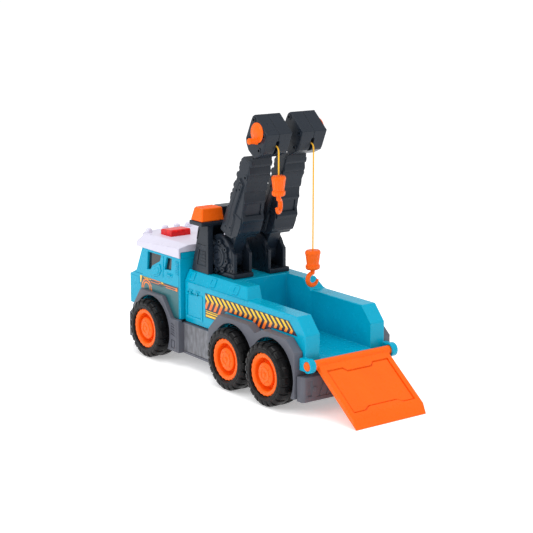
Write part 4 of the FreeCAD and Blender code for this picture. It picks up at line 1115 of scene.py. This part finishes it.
# Raised shapes on the cab's side: outline, lift, edge rounding and its segments.
CAB_RELIEFS = [(oblong(89.6, 80.6, 98.8, 84.6, 1.0), 0.45, 0.2, 1),
               (oblong(91.0, 82.2, 98.0, 83.8, 0.5), 1.5, 0.3, 1),
               ([(111.0, 90.6), (124.6, 85.0), (127.6, 78.4), (121.5, 76.2), (112.4, 79.0), (108.6, 84.6)],
                0.9, 0.5, 2),
               ([(113.0, 87.2), (122.6, 83.2), (124.6, 79.4), (120.8, 78.2), (113.8, 80.4), (111.4, 84.2)],
                1.4, 0.35, 1),
               ([(105.6, 78.4), (107.0, 78.4), (105.8, 99.0), (104.0, 99.0)], 0.55, 0.2, 1),
               (oblong(148.6, 64.8, 163.4, 71.6, 0.8), 0.4, 0.2, 1)]
CAB_GROOVES = (oblong(78.0, 45.0, 78.7, 98.0), oblong(142.6, 74.8, 159.6, 75.5))


def on_outside(edge):
    """Whether an edge lies in the cab's side face, and not behind a window."""
    return all(abs(vertex.co.y) > CAB_HALF - 0.5 for vertex in edge.verts)


def make_cab():
    """The cab shell with its handles, mirrors, pillar ribs and front bars, and what it holds."""
    shell = soften(read_node("cab_shell"), 0.7, 3, pick=on_outside)
    added, removed = [], []
    for sign in SIDES.values():
        for outline, lift, width, segments in CAB_RELIEFS:
            added.append(soften(relief(outline, CAB_HALF, 0.5, lift, sign), width, segments))
        for index in range(8):
            height = 85.0 + index * 1.75
            added.append(relief(oblong(79.4, height, 84.2, height + 0.85), CAB_HALF, 0.5, 0.5, sign))
        removed += [relief(outline, CAB_HALF, 0.5, 1, sign) for outline in CAB_GROOVES]
    front = box("cab_shell")[1].x
    for left in (-40.0, -12.4, 15.2):
        added.append(prism(oblong(left, 69.2, left + 24.8, 70.6, 0.4), front - 0.5, front + 0.7, "X"))
    stand_in("cab_shell", cut(unite(shell, *added), *removed))
    stand_in("cab_glazing", read_node("cab_glazing"), smooth=1.0).modifiers.clear()
    stand_in("front_grille", soften(read_node("front_grille"), 0.35, 1), GRILLE_BLACK)
    stand_in("headlamps", soften(read_node("headlamps"), 0.9, 2))


STICKER_FACE = CAB_HALF + 0.12
INK_FACE = CAB_HALF + 0.2
CAB_PANEL = [(147.2, 73.6), (79.4, 73.6), (79.4, 44.0), (86.6, 44.0), (101.0, 61.6), (140.0, 61.6),
             (146.0, 58.6)]
CAB_BAND = [(142.8, 73.5), (79.6, 73.5), (79.6, 70.2), (104.0, 70.2), (107.0, 68.8), (143.6, 68.8)]
YELLOW_SHAPES = [[(147.0, 73.5), (143.4, 73.5), (145.6, 66.6), (146.8, 66.6)]]
YELLOW_SHAPES += [[(start, 73.3), (start - 1.0, 73.3), (start - 2.2, 71.6), (start - 1.2, 71.6)]
                  for start in (140.8, 138.6, 136.4, 134.2, 132.0, 129.8)]
YELLOW_SHAPES += [[(109.6, 73.4), (106.4, 73.4), (103.6, 71.2), (106.8, 71.2)]]
ORANGE_SHAPES = [[(127.0, 72.0), (84.0, 72.0), (84.0, 71.4), (112.0, 71.4), (114.0, 70.2), (127.6, 70.2),
                  (127.6, 70.8), (114.4, 70.8), (112.6, 71.9)],
                 [(101.0, 70.2), (84.0, 70.0), (84.0, 69.5), (101.6, 69.7)],
                 circle(82.6, 70.8, 1.7, 24),
                 [(130.6, 73.4), (110.0, 73.4), (111.0, 72.8), (130.0, 72.8)]]
GEAR = (135.2, 62.8)
HALF_GEAR = {"start": -0.1, "sweep": math.pi + 0.2}


def make_cab_stickers():
    """Deep teal panels with an abstract gear, lines and a dot."""
    for side, sign in SIDES.items():
        panel = relief(CAB_PANEL, CAB_HALF, 0.3, 0.12, sign)
        piece(f"cab_sticker_{side}", panel, "truck", "teal_body", INK_DEEP_TEAL)
        band = relief(CAB_BAND, STICKER_FACE, 0.3, 0.04, sign)
        piece(f"cab_sticker_band_{side}", band, "truck", "teal_body", INK_BAND)
        yellow = [side_slab(shape, STICKER_FACE - 0.3, INK_FACE, sign) for shape in YELLOW_SHAPES]
        piece(f"cab_sticker_marks_{side}", joined(*yellow), "truck", "teal_body", INK_YELLOW)
        orange = [side_slab(shape, STICKER_FACE - 0.3, INK_FACE, sign) for shape in ORANGE_SHAPES]
        rings = [annulus(*GEAR, 5.0, 6.3, STICKER_FACE - 0.3, INK_FACE, 48, **HALF_GEAR),
                 annulus(*GEAR, 7.6, 8.6, STICKER_FACE - 0.3, INK_FACE, 96, 14, 0.7, **HALF_GEAR)]
        orange += [on_side(mesh, sign) for mesh in rings]
        piece(f"cab_sticker_lines_{side}", joined(*orange), "truck", "teal_body", INK_ORANGE)


ROOF_LAMPS = [(155, 0), (155, 13.4), (155, -13.4), (150.6, 35), (150.6, -35)]


def make_roof():
    """The pale roof with its visor, five domed lamps and the red button."""
    stand_in("cab_roof", soften(read_node("cab_roof"), 0.6, 2, 60))
    low = box("roof_marker_lamps")[0].z
    dome = [(0, low), (3.7, low), (3.7, low + 0.7), (3.3, low + 0.9), (3.25, low + 2.2), (2.8, low + 3.3),
            (1.7, low + 4.0), (0, low + 4.25)]
    domes = [lathe(dome, (x, y, 0), "Z", 32) for x, y in ROOF_LAMPS]
    stand_in("roof_marker_lamps", joined(*domes), ROOF_LAMP)
    stand_in("roof_lens", soften(read_node("roof_lens"), 0.7, 3))


SPRING_TURNS = 3.6
SPRING_RADIUS = 2.9
WIRE_RADIUS = 0.36


def coil(centre, low, high, steps_per_turn=24):
    """The button's spring: a round wire on a rising helix."""
    points = []
    count = int(SPRING_TURNS * steps_per_turn)
    for step in range(count + 1):
        share = step / count
        angle = math.tau * SPRING_TURNS * share
        points.append(Vector((centre[0] + SPRING_RADIUS * math.cos(angle),
                              centre[1] + SPRING_RADIUS * math.sin(angle), low + (high - low) * share)))
    return tapered_tube(points, [WIRE_RADIUS] * len(points), 10)


def make_spring():
    """The coil, from just above the spring's foot to just below its top under the button."""
    low, high = box("lens_spring")
    middle = (low + high) / 2
    item = piece("lens_spring_coil", coil(middle, low.z + 0.4, high.z - 0.4), None, "steel",
                 nodes=["lens_spring"])
    item.modifiers.clear()
    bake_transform(item)


# ------------------------------------------------------- towers and light bar

TOWER_RECESS = [(46.6, 112.6), (57.6, 112.6), (61.6, 98.0), (46.6, 98.0)]
TOWER_PANEL = [(47.6, 111.6), (56.8, 111.6), (60.4, 99.0), (47.6, 99.0)]
TOWER_GROOVE = [(46.6, 118.0), (60.0, 118.0), (60.2, 117.2), (46.6, 117.2)]


def make_tower(side, sign):
    """A tapered tower with a recessed panel and three bars on its side."""
    node = f"tower_{side}"
    face = max(abs(corner.y) for corner in box(node))
    shell = cut(soften(read_node(node), 0.5, 2), relief(TOWER_RECESS, face, 0.5, 2, sign),
                relief(TOWER_GROOVE, face, 0.6, 2, sign))
    raised = [soften(relief(TOWER_PANEL, face, 1.0, -0.15, sign), 0.2, 1)]
    raised += [relief(oblong(48.4, height, 56.8, height + 1.2), face, 1, 0.15, sign)
               for height in (101.0, 104.0, 107.0)]
    stand_in(node, unite(shell, *raised))


def make_beacon(side):
    """A rounded lamp with three ribs across its top."""
    low, high = box(f"beacon_{side}")
    ribs = []
    for index in range(3):
        rear = low.x + 4.6 + index * 4.6
        rib = prism(oblong(rear, low.y + 3.2, rear + 1.2, high.y - 3.2), high.z - 0.5, high.z + 0.28, "Z")
        ribs.append(soften(rib, 0.2, 1))
    stand_in(f"beacon_{side}", unite(soften(read_node(f"beacon_{side}"), 1.3, 4), *ribs))


def make_towers():
    """Both towers and beacons, and the light bar with its panels."""
    for side, sign in SIDES.items():
        make_tower(side, sign)
        make_beacon(side)
    rear = box("light_bar_base")[0].x
    panels = []
    for left in (-15.2, -7.2, 0.8, 8.8):
        panel = prism(oblong(left, 142.4, left + 6.4, 150.4, 0.7), rear + 3.2, rear + 4.5, "X")
        panels.append(soften(panel, 0.2, 1))
    panels.append(soften(prism(oblong(-45.0, 137.0, 45.0, 139.0, 0.6), rear - 0.5, rear + 0.6, "X"), 0.2, 1))
    stand_in("light_bar_base", unite(soften(read_node("light_bar_base"), 0.5, 2), *panels))


# ----------------------------------------------------- fenders, skirts, bumpers

FENDER_HALF = 52.5
SKIRT_HALF = 46.0
SKIRT_FOOT = 14.8
WHEEL_ARCH = 37.5


def make_fender(side, sign):
    """A fender with slanted vents, a framed hatch and two upright grooves on its step."""
    node = f"fender_{side}"
    removed = []
    for index in range(5):
        foot = 27.4 + index * 2.5
        vent = [(79.4, foot), (79.4, foot + 1.25), (85.4, foot + 2.6), (85.4, foot + 1.35)]
        removed.append(relief(vent, FENDER_HALF, 0.8, 2, sign))
    removed.append(relief(oblong(79.2, 15.6, 85.6, 24.0, 0.5), FENDER_HALF, 0.6, 2, sign))
    for rear in (74.6, 76.5):
        removed.append(relief(oblong(rear, 14.0, rear + 0.6, 43.0), FENDER_HALF, 0.5, 2, sign))
    hatch = soften(relief(oblong(80.2, 16.6, 84.6, 23.0, 0.4), FENDER_HALF, 1.2, 0.1, sign), 0.2, 1)
    stand_in(node, unite(cut(soften(read_node(node), 0.7, 3), *removed), hatch))


def make_skirt(side, sign):
    """The cast panel between the wheels, round the middle wheel's arch, and its flange."""
    outline = [(72.4, SKIRT_FOOT), (72.4, 41.2), (21.4, 41.2)]
    centre = joint_place("wheels_middle_spin")
    for step in range(9):
        turn = math.radians(24 - 50 * step / 8)
        outline.append((centre.x + WHEEL_ARCH * math.cos(turn), centre.z + WHEEL_ARCH * math.sin(turn)))
    outline = [(u, v) for u, v in outline if v >= SKIRT_FOOT] + [(20.8, SKIRT_FOOT)]
    cast = relief(outline, SKIRT_HALF, 0.5, 0.25, sign)
    piece(f"skirt_panel_{side}", cast, "truck", "grey_trim", SKIRT_GREY)
    flange = soften(relief(oblong(22.0, 12.3, 72.4, 14.4, 0.4), SKIRT_HALF, 1, 0.9, sign), 0.3, 2)
    piece(f"skirt_flange_{side}", flange, "truck", "grey_trim")


def make_rear_bumper():
    """Two nested tapered recesses, each with a raised panel in it, between two studs."""
    face = box("rear_bumper")[0].x
    recesses, panels = [], []
    for outline in ([(-34.6, 14.4), (34.6, 14.4), (29.0, 29.0), (-29.0, 29.0)],
                    [(-26.4, 14.4), (26.4, 14.4), (22.4, 24.6), (-22.4, 24.6)]):
        recesses.append(prism(outline, face - 1, face + 0.7, "X"))
        inner = [(u * 0.93, 14.4 + (v - 14.4) * 0.88 + 0.5) for u, v in outline]
        panels.append(soften(prism(inner, face + 0.1, face + 1.4, "X"), 0.3, 1))
    studs = [soften(prism(circle(sign * 37.2, 22.0, 2.2, 20), face - 0.6, face + 1, "X"), 0.3, 1)
             for sign in SIDES.values()]
    shell = unite(cut(soften(read_node("rear_bumper"), 0.8, 3), recesses[0]), panels[0])
    stand_in("rear_bumper", unite(cut(shell, recesses[1]), panels[1], *studs))


def make_front_bumper():
    """A raised plate between two lamp frames, each with a round lamp."""
    face = box("front_bumper")[1].x
    details = [soften(prism(oblong(-20, 15, 20, 26, 1.0), face - 1, face + 0.8, "X"), 0.4, 2)]
    lamp = [(0, face - 1), (3.0, face - 1), (3.0, face + 1.3), (2.4, face + 1.7), (0, face + 1.8)]
    for sign in SIDES.values():
        left, right = sorted((sign * 26, sign * 40))
        details.append(soften(prism(oblong(left, 16, right, 25, 1.2), face - 1, face + 0.7, "X"), 0.3, 1))
        details.append(lathe(lamp, (0, sign * 33, 20.5), "X", 28))
    stand_in("front_bumper", unite(soften(read_node("front_bumper"), 0.8, 3), *details))


# ------------------------------------------------------------------------ ramp

RAMP_TILT = math.radians(36.83)
RAMP_TOP = 2.3
RAMP_TIP, RAMP_FOOT, RAMP_HALF = -54.6, -9.0, 33.1


def inset(outline, distance):
    """An outline moved inwards by a distance; its corners run anticlockwise."""
    result = []
    for before, corner, after in zip(outline[-1:] + outline[:-1], outline, outline[1:] + outline[:1]):
        back = (Vector(corner) - Vector(before)).normalized()
        ahead = (Vector(after) - Vector(corner)).normalized()
        across = (Vector((-back.y, back.x)) + Vector((-ahead.y, ahead.x)))
        result.append(tuple(Vector(corner) + across * (distance * 2 / across.length_squared)))
    return result


def make_ramp():
    """A panel inside a stepped groove, and a cap on each end of the hinge's barrel."""
    hinge = joint_place("ramp_fold")
    lie = Matrix.Translation((hinge.x, 0, hinge.z)) @ Matrix.Rotation(-RAMP_TILT, 4, "Y")
    tip, foot, half, top = RAMP_TIP, RAMP_FOOT, RAMP_HALF, RAMP_TOP
    panel = [(tip, -half), (foot, -half), (foot, -16.0), (foot - 3.6, -12.6), (foot - 3.6, 12.6),
             (foot, 16.0), (foot, half), (tip, half), (tip, 20.0), (tip + 3.2, 15.0), (tip + 3.2, -15.0),
             (tip, -20.0)]
    filler = prism(oblong(tip - 0.6, -half - 0.6, -5.0, half + 0.6), top - 1.6, top, "Z")
    base = unite(soften(read_node("ramp"), 0.5, 3), moved(filler, lie))
    base = cut(base, moved(prism(panel, top - 1.5, top + 1, "Z"), lie))
    added = [soften(prism(inset(panel, 1.1), top - 1.8, top - 0.7, "Z"), 0.3, 2)]
    for sign in SIDES.values():
        cap = [(0, 47.3), (3.6, 47.3), (3.4, 47.9), (2.0, 48.1), (0, 48.1)]
        added.append(lathe([(radius, sign * out) for radius, out in cap], (0, 0, 0), steps=28))
    stand_in("ramp", unite(base, *[moved(mesh, lie) for mesh in added]))


# ---------------------------------------------------------------- what lies below

SCREWS = ((96, 22), (96, -22), (10, 22), (10, -22), (-92, 22), (-92, -22))
SPEAKER_RINGS = ((0, 1), (4.2, 6), (8.4, 12))
# Parts that only need their edges rounded, and by how much.
PLAIN_PARTS = {"battery_cover": 0.4, "speaker": 0.5, "circuit_board": 0.15, "battery_cells": 0.8}


def make_chassis():
    """The pan, with the speaker's holes and a row of vents."""
    holes = []
    for ring, count in SPEAKER_RINGS:
        holes += [prism(circle(*place, 1.1, 14), 11, 15, "Z") for place in circle(10, 0, ring, count)]
    for index in range(7):
        place = -60 + index * 6.0
        holes.append(prism(oblong(place, -26, place + 2.0, 26, 0.8), 11, 12.6, "Z"))
    stand_in("chassis", cut(soften(read_node("chassis"), 0.5, 2), *holes))


def make_underside():
    """Chassis, battery bay, board and speaker, and the screws with their crossed slots."""
    make_chassis()
    for node, width in PLAIN_PARTS.items():
        stand_in(node, soften(read_node(node), width))
    low = box("housing_screws")[0].z
    slots = []
    for across, wide in SCREWS:
        for long, short in ((1.5, 0.35), (0.35, 1.5)):
            slot = oblong(across - long, wide - short, across + long, wide + short)
            slots.append(prism(slot, low - 1, low + 0.5, "Z"))
    stand_in("housing_screws", cut(soften(read_node("housing_screws"), 0.2, 1), *slots))


# ------------------------------------------------------------------------ build

make_wheels()
make_bed()
make_hazard_stickers()
make_cab()
make_cab_stickers()
make_roof()
make_spring()
make_towers()
for side, sign in SIDES.items():
    make_fender(side, sign)
    make_skirt(side, sign)
make_rear_bumper()
make_front_bumper()
make_ramp()
make_underside()
make_arms()
make_heads()
make_cranks()
make_brackets()
make_blocks()
for side in SIDES:
    item, path = make_hoist_line(side)
